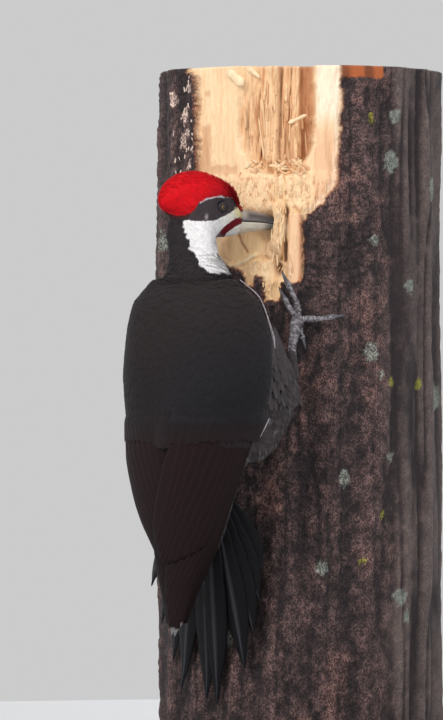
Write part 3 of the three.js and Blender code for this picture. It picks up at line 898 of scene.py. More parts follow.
def grown_coat(name, slot, pick, size, vane, finish, hues, seed, spacing, tousle=0.08, thickness=0.22,
               camber=0.0, seat=-0.3, uneven=0.25, soft=0.6, crisp=0.0, colours=plumage_colours):
    """Grows one coat over the skin where pick says, and colours it with the bird's markings, darker towards
    each tuft's root as painted shade.

    Size is the width, length and rise of a tuft at each place. Soft is how far the coat's shading follows the
    skin's, as the loose edges of feathers do. Crisp is how far the markings run across a tuft.
    """
    host = linked(name + "_host", bpy.data.objects["skin"].data.copy())
    size = np.stack([np.broadcast_to(part, len(pick)) for part in size], axis=-1)
    for key, value in (("pick", pick), ("size", size * MM), ("flow", skin_fields()["flow"])):
        store(host.data, key, value)
    tree = bpy.data.node_groups.get(COAT) or coat_tree()
    modifier = host.modifiers.new("Coat", "NODES")
    modifier.node_group = tree
    given = {
        "Vane": vane, "Spacing": spacing, "Density": 3.2 / spacing**2, "Tousle": tousle, "Seat": seat * MM,
        "Thickness": thickness * MM, "Camber": camber * MM, "Patch": PATCH, "Unevenness": uneven,
        "Seed": seed, "Finish": finish,
    }
    for item in tree.interface.items_tree:
        if item.in_out == "INPUT" and item.name in given:
            modifier[item.identifier] = given[item.name]
    mesh = evaluated(host)
    dropped(host)
    if len(mesh.polygons) < 100:
        raise RuntimeError(f"{name} grew no feathers")
    mesh.name = name
    along_across = read(mesh, "vane")
    places_seen = mixed(read(mesh, "tip") / MM, places(mesh), crisp)
    tint = 1 + 0.14 * (read(mesh, "tint", 1) - 0.5)
    colour = colours(places_seen, hues) * tint[:, None]
    # Each tuft is painted darker towards its root, where the tufts over it lie: painted shade.
    root_shade = mixed(0.72, 1.04, eased(along_across[:, 1], 0.1, 0.9))
    store(mesh, "plumage_colour", colour * root_shade[:, None])
    store(mesh, "barb", along_across[:, 1] * size[:, 1].mean() - np.abs(along_across[:, 0]) * 1.2)
    own, lie = normals(mesh), read(mesh, "lie")
    lie = np.where(((own * lie).sum(axis=1) > -0.6)[:, None], mixed(own, lie, soft), own)
    mesh.normals_split_custom_set_from_vertices(unit(lie).tolist())
    for spare in ("tip", "rise", "root_place", "tint", "vane", "flow", "size", "pick", "skin_normal", "lie"):
        if mesh.attributes.get(spare):
            mesh.attributes.remove(mesh.attributes[spare])
    finished(linked(name, mesh), slot)


# ---------- wings ----------
# A vane's section, as shares of its half width: over the top from edge to edge, and back underneath
TOP = np.array([-1, -0.82, -0.55, -0.25, -0.07, 0, 0.07, 0.25, 0.55, 0.82, 1])
UNDER = np.array([0.6, 0, -0.6])
RING = np.concatenate([TOP, UNDER])
BARB_SLANT = 1.1  # how far back a barb's root lies for each unit that its tip lies out


def add_feather(parts, place, length, half_width, colours, rows=22, thick=0.45, shaft=0.35, seed=0):
    """A long feather with a raised shaft and split barbs.

    Its shape is half_width(t), place(across, t, rise) bends it, and colours(side, along) paints it.
    """
    t = inner_steps(rows)
    u = RING[None, :]
    is_top = (np.arange(len(RING)) < len(TOP))[None, :]
    split = 1 - 0.10 * eased(noise(t * length / 9.0, seed, 0, 31), 0.35, 0.6)[:, None] * (np.abs(u) > 0.75)
    across = u * half_width(t)[:, None] * split
    crown = (1 - np.abs(u) ** 2.2) * thick + shaft * bump(u, 0, 0.07) * (1 - 0.6 * t[:, None])
    rise = np.where(is_top, crown, 0.0) + 0.10 * noise(t[:, None] * length / 5.0, u * 2.0, seed, 32) * is_top
    rows_at = place(across, np.broadcast_to(t[:, None], across.shape), rise)
    first = place(np.zeros(1), np.zeros(1), np.full(1, thick / 2))[0]
    last = place(np.zeros(1), np.ones(1), np.full(1, thick / 3))[0]
    points, faces = tube(rows_at, first, last)
    barb = ring_of(t[:, None] * length - np.abs(across) * BARB_SLANT, [0.0, length])
    sides = ring_of(np.broadcast_to(u, across.shape), [0.0, 0.0])
    alongs = ring_of(np.broadcast_to(t[:, None], across.shape), [0.0, 1.0])
    parts.add(points, faces, barb=barb, plumage_colour=colours(sides, alongs))


def vane_outline(width, root=0.55, fullest=0.45, tip_power=2.4, tip=0.0):
    """A half width along a feather: its root, where it is fullest, and how round its tip is."""

    def half(t):
        rise = mixed(root, 1.0, eased(t, 0, fullest))
        fall = (1 - np.clip((t - fullest) / (1 - fullest), 0, 1) ** tip_power) ** 0.6
        return width * np.maximum(rise * fall, tip)

    return half


def chord(sign, height):
    """Length across a folded wing at a height."""
    _, _, half_width, back = np.moveaxis(bed(height), -1, 0)
    edges = wing_edges(height)
    span = edges[..., 2] - edges[..., 0 if sign > 0 else 1]
    return np.radians(span) * (half_width * 0.6 + back * 0.4 + 2)


def wing_feather(parts, sign, outer, top, tip, width, lift, hues, seed, tip_across, tone, thick=0.45,
                 root=0.55, root_lift=None, rising=(0, 0.6), spot=0.0, pale_edge_and_highlight=0.6, root_tone=None):
    """A feather of a folded wing, its root at outer, a share of the wing's breadth, its tip at tip_across."""
    root_lift = lift if root_lift is None else root_lift
    length = top - tip

    def place(across, t, rise):
        height = mixed(top, tip, t)
        middle = mixed(outer, tip_across, t**1.4)
        share = middle + across / np.maximum(chord(sign, height), 8)
        raised = mixed(root_lift, lift * (1 - 0.12 * t), eased(t, *rising))
        return on_wing(sign, share, height, raised + rise - 0.012 * np.abs(across) ** 1.6)

    def colours(side, along):
        base = washed(tone if root_tone is None else root_tone, tone, eased(along, 0.45, 0.9))
        # Lighter edges and shaft: partly the feathers' own paler edges and shaft, partly a painted highlight.
        edge = washed(base, base * 2.4, pale_edge_and_highlight * eased(np.abs(side), 0.8, 1.0))
        shaft = washed(edge, base * 1.8, pale_edge_and_highlight * bump(side, 0, 0.06))
        worn = spot * eased(along, 0.962, 0.975) * (noise(along * 60, side * 2, seed, 33) > -0.2)
        return washed(shaft * mixed(1.05, 0.9, along)[:, None], hues["white"], worn)

    add_feather(parts, place, length, vane_outline(width, root=root), colours, thick=thick, seed=seed)


# Outermost and lowest first: where across the wing, the tip's height, where across it the tip is, half width
# and lift
PRIMARIES = [(0.93, 128, 0.62, 5.0, 1.0), (0.90, 123, 0.52, 5.4, 1.2), (0.86, 124, 0.42, 5.8, 1.4),
             (0.81, 129, 0.36, 6.0, 1.6), (0.76, 137, 0.32, 6.2, 1.8), (0.71, 147, 0.30, 6.4, 2.0),
             (0.66, 158, 0.30, 6.6, 2.2), (0.60, 168, 0.30, 6.8, 2.4)]
SECONDARIES = [(0.74, 188, 0.62, 8, 2.6), (0.66, 184, 0.54, 8.2, 2.8), (0.58, 181, 0.46, 8.4, 3.0),
               (0.50, 178, 0.38, 8.6, 3.25), (0.42, 177, 0.31, 8.8, 3.5), (0.34, 178, 0.26, 9, 3.75),
               (0.27, 181, 0.22, 9.2, 4.0), (0.20, 187, 0.19, 9.2, 4.25), (0.14, 196, 0.16, 8.8, 4.5)]
COVERTS = 15


def make_wing(side, sign, hues):
    """A folded wing's flight feathers over their core, its lowest coverts and its pale outer edge."""
    parts = Parts()
    heights = np.linspace(270, 133, 40)
    across = np.concatenate([np.linspace(0.02, 0.98, 26), np.linspace(0.9, 0.1, 10)])
    top = np.arange(len(across)) < 26
    lift = np.where(top, 0.9, -1.2)
    rows = on_wing(sign, across[None, :], heights[:, None], lift[None, :])
    points, faces = tube(rows, rows[0].mean(axis=0), rows[-1].mean(axis=0))
    # The core is painted at 0.7 of the flight feathers' colour: painted shade under and between them.
    parts.add(points, faces, barb=np.zeros(len(points)), plumage_colour=hues["flight"] * 0.7)
    seed = 40 if sign > 0 else 80
    for k, (start, tip, end, half, lift) in enumerate(PRIMARIES):
        tone = hues["flight"] * (0.92 + 0.03 * k)
        wing_feather(parts, sign, start, 276, tip, half, lift, hues, seed + k, end, tone, spot=k < 3)
    for k, (start, tip, end, half, lift) in enumerate(SECONDARIES):
        tone = hues["flight"] * (0.98 + 0.02 * k)
        wing_feather(parts, sign, start, 280, tip, half, lift, hues, seed + 10 + k, end, tone)
    for k in range(COVERTS):
        share = mixed(0.97, 0.03, k / COVERTS)
        tip = float(266 + 2.5 * math.sin(2.2 * share) + 1.2 * noise(k, 0.5, 0, seed))
        upper = mantle_colours(in_bird(on_wing(sign, share, 300, 3.0)), hues)
        wing_feather(parts, sign, share, 304, tip, 5.6, 5.5 - 0.8 * share, hues, seed + 20 + k, share - 0.015,
                     hues["covert"], thick=0.3, root=0.7, root_lift=0.0, rising=(0.25, 0.62), pale_edge_and_highlight=0.15,
                     root_tone=upper)
    rng = np.random.default_rng(seed)
    for k, height in enumerate(np.concatenate([np.linspace(388, 346, 34), np.linspace(287, 282, 4)])):
        height += rng.uniform(-0.9, 0.9)
        share = 1.0 - 0.008 * rng.uniform(0, 1)
        tone = hues["edge"] * rng.uniform(0.45, 1.0)
        lift = 1.3 + 3.4 * float(eased(height, 366, 328))
        width = rng.uniform(0.3, 0.55)
        wing_feather(parts, sign, share, height, height - 9.5, width, lift, hues, seed + 100 + k,
                     share + 0.004, tone, thick=0.4)
    finish = feather_finish("Flight feathers", sheen=0.0, roughness=0.66, specular=0.12)
    return parts.made(f"wing_{side}_flight", finish)


# ---------- flanks ----------
# height and how far out from the trunk's axis the flank's edge lies, above the thigh
flank_edge = through([(300, 124), (306, 125), (314, 127), (322, 134), (331, 141), (338, 147.5), (345, 154),
                      (352, 161)])


def skin_patches(piece, roots, sizes):
    """Gives feathers the UV map OFBake, each one a small patch at its root's place on the skin's map."""
    skin = bpy.data.objects["skin"].data
    tree = kdtree.KDTree(len(skin.polygons))
    for face in skin.polygons:
        tree.insert(face.center, face.index)
    tree.balance()
    uv, own = skin.uv_layers["OFBake"].data, piece.data.uv_layers.new(name="OFBake").data
    owner = np.repeat(np.arange(len(roots)), sizes)
    places_on_map = []
    for root in roots:
        face = skin.polygons[tree.find(root * MM)[1]]
        places_on_map.append(np.mean([uv[k].uv for k in face.loop_indices], axis=0))
    inside_patch = np.column_stack([np.arange(sum(sizes)) % 14 / 14.0, np.arange(sum(sizes)) % 5 / 5.0]) - 0.5
    for loop in piece.data.loops:
        k = loop.vertex_index
        own[loop.index].uv = places_on_map[owner[k]] + PATCH * inside_patch[k]


def make_flank(side, sign, hues):
    """The flank's feathers from under the wing's edge to the thigh, and the feathered top of the shank."""
    parts, roots = Parts(), []
    rng = np.random.default_rng(5 + sign)
    drop = 0 if sign > 0 else FOOT["left_drop"]
    rows = [("flank", h, u) for h in np.arange(353, 305, -4.2) for u in np.linspace(0, 1, 6)]
    rows += [("shank", h, a) for h in (313, 318, 323, 327) for a in np.linspace(0, 2 * math.pi, 12)[:-1]]
    for k, (kind, height, u) in enumerate(rows):
        height = height + rng.uniform(-1.5, 1.5) - drop * (kind == "shank")
        u = u + rng.uniform(-0.06, 0.06)
        if kind == "flank":
            wing = in_bird(on_wing(sign, 0.97, height, 0.0))
            edge = np.array([sign * 55.5, -flank_edge(height)[..., 0], height])
            root = mixed(wing, edge, u) + np.array([sign * (1.8 * math.sin(math.pi * u) - 1.0), 0, 0])
            way = np.array([0.0, 0.55 * u, -0.8])
            out = np.array([sign, -0.25, 0.15])
            length, width, rise = rng.uniform(12, 16), 3.0, 1.6
        else:
            round_leg = np.array([math.cos(u), -math.sin(u), 0.0])
            shank = np.array([FOOT["middle"] + sign * 46.3, -118.8, height])
            root = shank + round_leg * mixed(5.5, 3.6, eased(height + drop, 313, 329))
            way = np.array([0.0, 0.15, 1.0]) - 0.12 * round_leg
            out = round_leg
            length, width, rise = rng.uniform(8, 11), 1.7, 0.5
        way = unit(way)
        beside = unit(np.cross(way, out))
        out = np.cross(beside, way)

        def place(across, t, up):
            t = np.broadcast_to(t, across.shape)
            lifted = up + rise * t**1.5 - 0.03 * across**2
            return from_bird(
                root + way * (t * length)[..., None] + beside * across[..., None] + out * lifted[..., None])

        tone, share = hues["flank"] * rng.uniform(0.75, 1.15), rng.uniform() ** 2

        def colours(across, along):
            tip = eased(along, 0.88, 0.97) * (kind == "flank") * 0.3 * share
            # Each feather is painted darker towards its root: painted shade under the feathers that overlap it.
            return washed(tone * mixed(0.8, 1.0, along)[:, None], hues["edge"], tip)

        before = parts.count
        add_feather(parts, place, length, vane_outline(width, root=0.5), colours, rows=7, thick=0.25,
                    shaft=0.12, seed=200 + k)
        roots.append((from_bird(root), parts.count - before))
    piece = parts.made(f"flank_{side}_feathers", feather_finish("Flank feathers", roughness=0.85, barbs=0.2))
    skin_patches(piece, *zip(*roots))
    return piece


# ---------- tail ----------
# Turn round the trunk and height of each tail feather's tip, from the middle pair outwards, right then left
TAIL_TIPS = [(-8, 69.5), (-13, 72), (4.4, 97), (-27, 78), (8.5, 124), (-33, 99), (11, 150), (-38, 128),
             (12.5, 174), (-42, 156)]


def make_tail(hues):
    parts = Parts()
    outline = through([(0, 2.6), (0.25, 8), (0.55, 10.6), (0.72, 9.6), (0.86, 5.4), (0.94, 2.6), (1, 0.8)])
    for order, (tip_turn, tip_height) in reversed(list(enumerate(TAIL_TIPS))):
        root_turn = TAIL["root_turn"] + (-1 if order % 2 else 1) * (0.6 + 0.35 * order)

        def place(across, t, rise):
            height = mixed(TAIL["root_height"], tip_height, t)
            turn = mixed(root_turn, tip_turn, t**1.1)
            raised = np.clip((height - TAIL["tip_height"]) / (TAIL["root_height"] - TAIL["tip_height"]), 0, 1)
            out = mixed(TAIL["tip_out"], TAIL["root_out"], raised**1.15)
            layer = order * TAIL["step"] * eased(height, TAIL["tip_height"], TAIL["tip_height"] + 34)
            radius = out - layer + rise - 0.45 - 0.01 * across**2
            return from_bird(round_trunk(turn + np.degrees(across / radius), radius, height))

        def colours(side, along):
            base = washed(hues["tail"], hues["back_cool"], eased(along, 0.3, 0))
            # The grey line along each shaft is a painted highlight on the glossy shaft.
            shaft = washed(base, hues["shaft"], 0.8 * bump(side, 0, 0.09))
            return washed(shaft, base * 0.6, 0.5 * eased(np.abs(side), 0.7, 1))

        def half(t):
            frayed = 0.1 * eased(noise(t * 30, order, 0, 90), 0.2, 0.6) * (t > 0.8)
            return outline(t)[..., 0] * (1 - frayed)

        length = TAIL["root_height"] - tip_height
        add_feather(parts, place, length, half, colours, rows=34, thick=0.6, shaft=0.75, seed=90 + order)
    finish = feather_finish("Tail feathers", sheen=0.0, roughness=0.5, barbs=0.35, specular=0.14)
    return parts.made("tail_fan", finish)


# ---------- bill ----------
def make_bill(upper, hues):
    def tapered(s):
        return 1 - 0.9 * s ** (1.5 if upper else 0.9)

    def gape(s):
        """The line between the halves, which bows up."""
        return BILL["line"] + 1.5 * np.sin(math.pi * s)

    sign = 1 if upper else -1
    deep = BILL["rise"] if upper else BILL["drop"]
    rows, around = 44, 40
    t = inner_steps(rows)[:, None]
    angle = turns(around)[None, :]
    ahead = np.broadcast_to(mixed(BILL["root"] - 3, BILL["tip"], t), (rows, around))
    s = np.clip((ahead - BILL["root"]) / (BILL["tip"] - BILL["root"]), 0, 1)
    across = BILL["half_width"] * (1 - 0.86 * s**1.15) * np.cos(angle)
    ridge = np.maximum(np.sin(angle), 0)
    degrees = np.degrees(angle)
    side_ridge = 0.07 * bump(degrees, 38, 9) + 0.07 * bump(degrees, 142, 9)
    keel = 0.05 * bump(degrees, 90, 9)
    away = deep * tapered(s) * (ridge**1.2 + (side_ridge + keel) * (1 - s)) + 0.17
    groove = 0.3 * bump(degrees, 24, 6) + 0.3 * bump(degrees, 156, 6)
    away = away - groove * (1 - s) * (ridge > 0)
    local = np.stack([across, ahead, gape(s) + sign * away], axis=-1)
    points, faces = tube(local, local[0].mean(axis=0), local[-1].mean(axis=0))
    share = np.clip((points[:, 1] - BILL["root"]) / (BILL["tip"] - BILL["root"]), 0, 1)
    high = np.clip(sign * (points[:, 2] - gape(share)) / (deep * tapered(share)), 0, 1)
    streak = 0.5 + 0.5 * noise(points[:, 1] / 9, points[:, 2] / 0.8, points[:, 0] / 1.2, 12)
    if upper:
        # The pale ridge and the pale streak near the base are painted highlights.
        lit = 0.85 * eased(high, 0.55, 0.95) * (0.6 + 0.4 * streak)
        lit += 0.5 * bump(high, 0.3, 0.09) * eased(share, 0.5, 0.1)
        base = hues["slate"] * 0.7
        layers = (("culmen", np.clip(lit, 0, 1)), (hues["slate"] * 0.4, eased(high, 0.22, 0.02)),
                  ("horn", 0.5 * eased(share, 0.12, 0) * eased(high, 0.2, 0.5)))
    else:
        base = hues["horn"]
        layers = ((base * 0.72, 0.6 * streak), ("slate", 0.9 * eased(share, 0.35, 0.85)))
    # Both halves darken towards the tip: painted shadow where the bill goes into the wood.
    colour = painted(base, hues, *layers, (hues["slate"] * 0.25, 0.85 * eased(share, 0.28, 0.5)))
    name = "bill_top" if upper else "bill_bottom"
    finish = horn_finish("Slate horn" if upper else "Pale horn", "horn_colour", 0.3)
    return made(name, from_head(points), faces, finish, {"horn_colour": colour})


# ---------- eyes ----------
GAZE = {"outwards": 0.93, "forward": 0.36, "up": 0.06}


def eye_axes(sign):
    gaze = unit(np.array([sign * GAZE["outwards"], GAZE["forward"], GAZE["up"]]))
    level = unit(np.array([-gaze[1] * sign, gaze[0] * sign, 0.0]))
    return np.array(EYE["place"]) * (sign, 1, 1), gaze, level, np.cross(gaze, level) * sign


def make_eye(side, sign):
    middle, gaze, level, rise = eye_axes(sign)
    theta = np.linspace(0, math.pi, 42)[1:-1][:, None]
    phi = turns(48)[None, :]
    cornea = 0.35 * bump(np.degrees(theta), 0, 26)
    radius = EYE["radius"] + cornea
    aim = (np.cos(theta)[..., None] * gaze + np.sin(theta)[..., None] * (
        np.cos(phi)[..., None] * level + np.sin(phi)[..., None] * rise))
    rows = middle + radius[..., None] * aim
    points, faces = tube(rows, middle + (EYE["radius"] + 0.35) * gaze, middle - EYE["radius"] * gaze)
    angle = ring_of(np.broadcast_to(np.degrees(theta), (40, 48)), [0.0, 180.0])

    def look(g):
        out = g.attribute("gaze_angle")["Fac"]
        streaks = g.texture_at(2600, detail=3)
        iris = g.add("ShaderNodeValToRGB", {"stops": [
            (0.0, (0.002, 0.002, 0.002)), (0.285, (0.003, 0.002, 0.002)), (0.30, (0.10, 0.045, 0.008)),
            (0.40, (0.26, 0.13, 0.02)), (0.55, (0.32, 0.18, 0.03)), (0.66, (0.12, 0.05, 0.012)),
            (0.70, (0.01, 0.008, 0.007)), (1.0, (0.02, 0.015, 0.014))]}, {"Fac": out / 80.0})["Color"]
        toned = g.toned(iris, (0.4, 0.32, 0.25), g.ramp(streaks, 0.4, 0.65) * 0.7)
        return {"colour": toned, "roughness": 0.07 + streaks * 0.03}

    finish = material(f"Eye {side}", look, coat_weight=0.5, coat_roughness=0.02, specular_ior_level=0.2)
    return made(f"eye_{side}_ball", from_head(points), faces, finish, {"gaze_angle": angle})


def make_lids(hues):
    """The bare grey rims of both eyes, each a ring whose opening is narrower above."""
    parts = Parts()
    for sign in (1, -1):
        middle, gaze, level, rise = eye_axes(sign)
        phi = turns(56)
        wide, above, below = 37.0, 22.0, 28.0
        beside = np.cos(phi)[:, None] * level + np.sin(phi)[:, None] * rise
        high = np.where(np.sin(phi) > 0, above, below)
        opening = 1 / np.sqrt((np.cos(phi) / wide) ** 2 + (np.sin(phi) / high) ** 2)
        profile = [(0, 4.72), (1.2, 4.96), (4, 5.1), (8, 4.98), (11, 5.16), (16, 5.0), (22, 5.1), (30, 5.05),
                   (34, 4.98), (34, 4.6), (20, 4.5), (8, 4.6)]
        rings = []
        for away, radius in profile:
            theta = np.radians(np.minimum(opening + away, 88))[:, None]
            wrinkle = 0.07 * np.sin(phi * 17 + away)[:, None] * (3 < away < 45)
            aim = np.cos(theta) * gaze + np.sin(theta) * beside
            rings.append(middle + (radius + wrinkle) * aim)
        rows = np.array(rings)
        count, around = rows.shape[:2]
        tone = np.repeat([away for away, _ in profile], around)
        parts.add(from_head(rows), strips(count, around, closed=True),
                  horn_colour=washed(hues["lid_edge"], hues["lid"], eased(tone, 1, 9)))
    return parts.made("eye_lids", horn_finish("Eyelid skin", "horn_colour", 0.75))


# ---------- feet ----------
# Each toe's joints from the palm, as (sideways, upwards) over the bark, and a claw's lift over it on its way
CLAW_REACH = [(-1.0, 2.9), (1.5, 3.4), (4, 4.1), (7.4, 3.1), (9.6, 0.2)]
TOES = {
    "hallux": [(0.4, -3.4), (2, -9), (3.6, -14.5)],
    "inner": [(-1.4, 3), (-6.2, 9.6), (-9.6, 16.4)],
    "middle": [(0.6, 4.4), (-1.6, 14.8), (-7.8, 28.4)],
    "outer": [(4.2, 0.4), (15.5, 0.6), (26.8, 2.2)],
}


def palm(sign):
    """The turn round the trunk and the height of a foot's middle."""
    if sign > 0:
        return FOOT["turn"], FOOT["height"]
    return FOOT["left_turn"], FOOT["height"] - FOOT["left_drop"]


def bark_line(sign, steps, count):
    """A line over the bark through (sideways, upwards, lift) steps from the palm."""
    turn, height = palm(sign)
    smooth = curve(steps, count)
    degrees = turn + np.degrees(smooth[:, 0] / TRUNK_RADIUS) * sign
    return from_bird(round_trunk(degrees, BARK_RADIUS + smooth[:, 2], height + smooth[:, 1]))


def scaled_limb(parts, line, radii, hues, pitch, seed):
    """A limb of scaled skin: broad scutes over the upper side, fine knobs beneath."""
    around = 20
    length = np.concatenate([[0], np.cumsum(np.linalg.norm(np.diff(line, axis=0), axis=1))])
    outwards = line.mean(axis=0) - TRUNK
    outwards[2] = 0
    angles = turns(around)
    upper = eased(np.sin(angles), 0.05, 0.6)[None, :]
    phase = (length / pitch) % 1.0
    scute = (phase[:, None] ** 0.5 - 0.45) * 0.26 * upper
    knobs = 0.18 * noise(length[:, None] / 1.3, angles[None, :] * 2.6, seed, 21) * (1 - 0.4 * upper)
    full = np.asarray(radii)[:, None] * (1 + scute + knobs)
    rows = along_line(line, full, around, outwards)
    points, faces = tube(rows, line[0], line[-1])
    # Painted shade in the creases between the scutes and in the hollows between the knobs beneath.
    crease_shade = 0.85 * (phase[:, None] < 0.16) * upper + 0.5 * (knobs < 0.0) * (1 - upper)
    dust = eased(noise(length[:, None] / 0.9, angles[None, :] * 2.4, seed, 22), -0.25, 0.4)
    colour = painted(hues["foot"], hues, ("foot_crease", crease_shade), ("foot_pale", (0.06 + 0.5 * dust) * upper))
    parts.add(points, faces, horn_colour=ring_of(colour, [hues["foot"]] * 2))


def make_feet(side, sign, hues):
    scaly, horny = Parts(), Parts()
    drop = 0 if sign > 0 else FOOT["left_drop"]
    turn, height = palm(sign)
    middle = FOOT["middle"]
    shank = [(middle + sign * 46, -121.5, 322 - drop), (middle + sign * 46.4, -117.5, 331 - drop),
             (middle + sign * 46.2, -116, 341 - drop)]
    foot = round_trunk(turn, TRUNK_RADIUS + 4.2, height)
    line = from_bird(curve(shank + [tuple(foot)], 60))
    t = np.linspace(0, 1, 60)
    scaled_limb(scaly, line, 2.7 + 0.4 * eased(t, 0.1, 0.4) + 1.5 * eased(t, 0.65, 0.95), hues, 2.6, 3)
    for k, joints in enumerate(TOES.values()):
        lift = FOOT["toe"] + 0.2
        steps = [(0, 0, lift + 0.9)] + [(a, b, lift + 0.5 * (n == 1)) for n, (a, b) in enumerate(joints)]
        line = bark_line(sign, steps, 72)
        t = np.linspace(0, 1, 72)
        knuckles = 0.88 - 0.16 * t + 0.11 * np.cos(4 * math.pi * t)
        radii = FOOT["toe"] * knuckles * np.sqrt(1 - 0.55 * eased(t, 0.93, 1.0))
        scaled_limb(scaly, line, radii, hues, 1.75, 5 + k)
        (a, b), (c, d) = joints[-2:]
        length = math.hypot(c - a, d - b)
        step = ((c - a) / length, (d - b) / length)
        line = bark_line(sign, [(c + step[0] * r, d + step[1] * r, up) for r, up in CLAW_REACH], 40)
        t = np.linspace(0, 1, 40)
        radii = FOOT["claw"] * (1 - 0.9 * t**1.2)
        outwards = line.mean(axis=0) - TRUNK
        rows = along_line(line, radii, 14, (outwards[0], outwards[1], 0), squash=1.25)
        points, faces = tube(rows, line[0], line[-1])
        horny.add(points, faces, horn_colour=mixed(hues["claw"], hues["claw_tip"], ring_of(
            np.broadcast_to(t[:, None, None], (40, 14, 1)), [[0.0], [1.0]])))
    skin = scaly.made(f"leg_{side}_foot", horn_finish("Scaled skin", "horn_colour", 0.55))
    claws = horny.made(f"leg_{side}_claws", horn_finish("Claw horn", "horn_colour", 0.28))
    return skin, claws


# ---------- perch ----------
# The pit's rim and the hollow's, as (arc round the trunk from its front towards +X, height).
PIT_RIM = [
    (32, 562), (32, 520), (29.5, 485), (27.4, 462), (20, 452), (12.3, 444), (3, 437.5), (-0.5, 431),
    (1, 415), (0.5, 395), (-2, 388), (-10, 386), (-16, 388), (-18.5, 374), (-30, 373), (-31, 384),
    (-31.5, 392.5), (-39.5, 393), (-40, 385), (-44, 386), (-46, 392), (-50, 397), (-61, 398.5), (-82, 412),
    (-92, 446), (-94.8, 473), (-94.8, 545), (-108, 548), (-108, 562),
]
HOLLOW_RIM = [
    (11, 570), (11.5, 534), (11, 505), (8.6, 490), (5, 481), (-1, 474), (-8, 469.5), (-20, 467), (-30, 469),
    (-44, 474), (-48, 480), (-54, 488), (-57, 505), (-56, 534), (-56, 570),
]
SPUR = [(-21, 446), (-14.6, 444), (-15.4, 425), (-16, 410), (-20, 402), (-26, 402.5), (-30, 408),
        (-30.5, 414), (-27.5, 420), (-23.6, 424.5), (-23.4, 436), (-22, 446)]
BOWL_RIM = [(-61, 400), (-54, 400.8), (-47, 403.4), (-38, 408)]
BOWL_STROKE = [(-52.5, 424), (-50.5, 418), (-45, 410.5)]
PATCHES = [  # arc, height, radius, and its colour
    (55, 335, 6.5, "lichen"), (63, 318, 2.5, "lichen"), (76, 479, 7, "lichen"), (15, 173, 5, "lichen"),
    (33, 240, 5.5, "lichen"), (58, 420, 4, "lichen"), (74.7, 313, 3.6, "lichen_yellow"),
    (112, 311, 4, "lichen_yellow"), (66, 213, 3, "lichen_yellow"), (48, 179, 3, "lichen_yellow"),
    (75, 256, 3.5, "lichen"), (80, 514, 5, "lichen"), (55, 511, 3, "lichen_yellow"), (84, 150, 6, "lichen"),
    (90, 135, 4, "lichen"), (95, 385, 5, "lichen"), (-60, 120, 6, "lichen"), (150, 300, 9, "lichen"),
    (-150, 420, 8, "lichen"), (200, 200, 9, "lichen"), (-200, 260, 8, "lichen_yellow"),
    (-120, 210, 6, "lichen"), (130, 460, 8, "lichen"), (250, 380, 9, "lichen"), (-230, 120, 8, "lichen"),
    (-109.4, 515.7, 5, "chip"), (-101.8, 535, 3.4, "chip"), (-111.9, 496, 4.4, "chip"),
    (-105.3, 502, 2.4, "chip"), (-122, 527.5, 4.5, "chip"), (-104, 478, 3, "chip"), (-99, 488, 2, "chip"),
]


def inside(x, y, outline):
    """Whether places lie inside a closed outline."""
    outline = np.asarray(outline, float)
    crossed = np.zeros(np.shape(x), bool)
    for a, b in zip(outline, np.roll(outline, -1, axis=0)):
        spans = (a[1] > y) != (b[1] > y)
        step = b[1] - a[1] if b[1] != a[1] else 1e-9
        crossed ^= spans & (x < (b[0] - a[0]) * (y - a[1]) / step + a[0])
    return crossed


def within(x, y, outline):
    """How far places lie inside a closed outline, less than 0 outside it."""
    away, _ = polyline_distance(x, y, outline, closed=True)
    return np.where(inside(x, y, outline), away, -away)


def stepped(value, steps):
    """Value with level treads and steep risers, as split wood has."""
    scaled = value * steps
    whole = np.floor(scaled)
    return (whole + eased(scaled - whole, 0.78, 1.0)) / steps


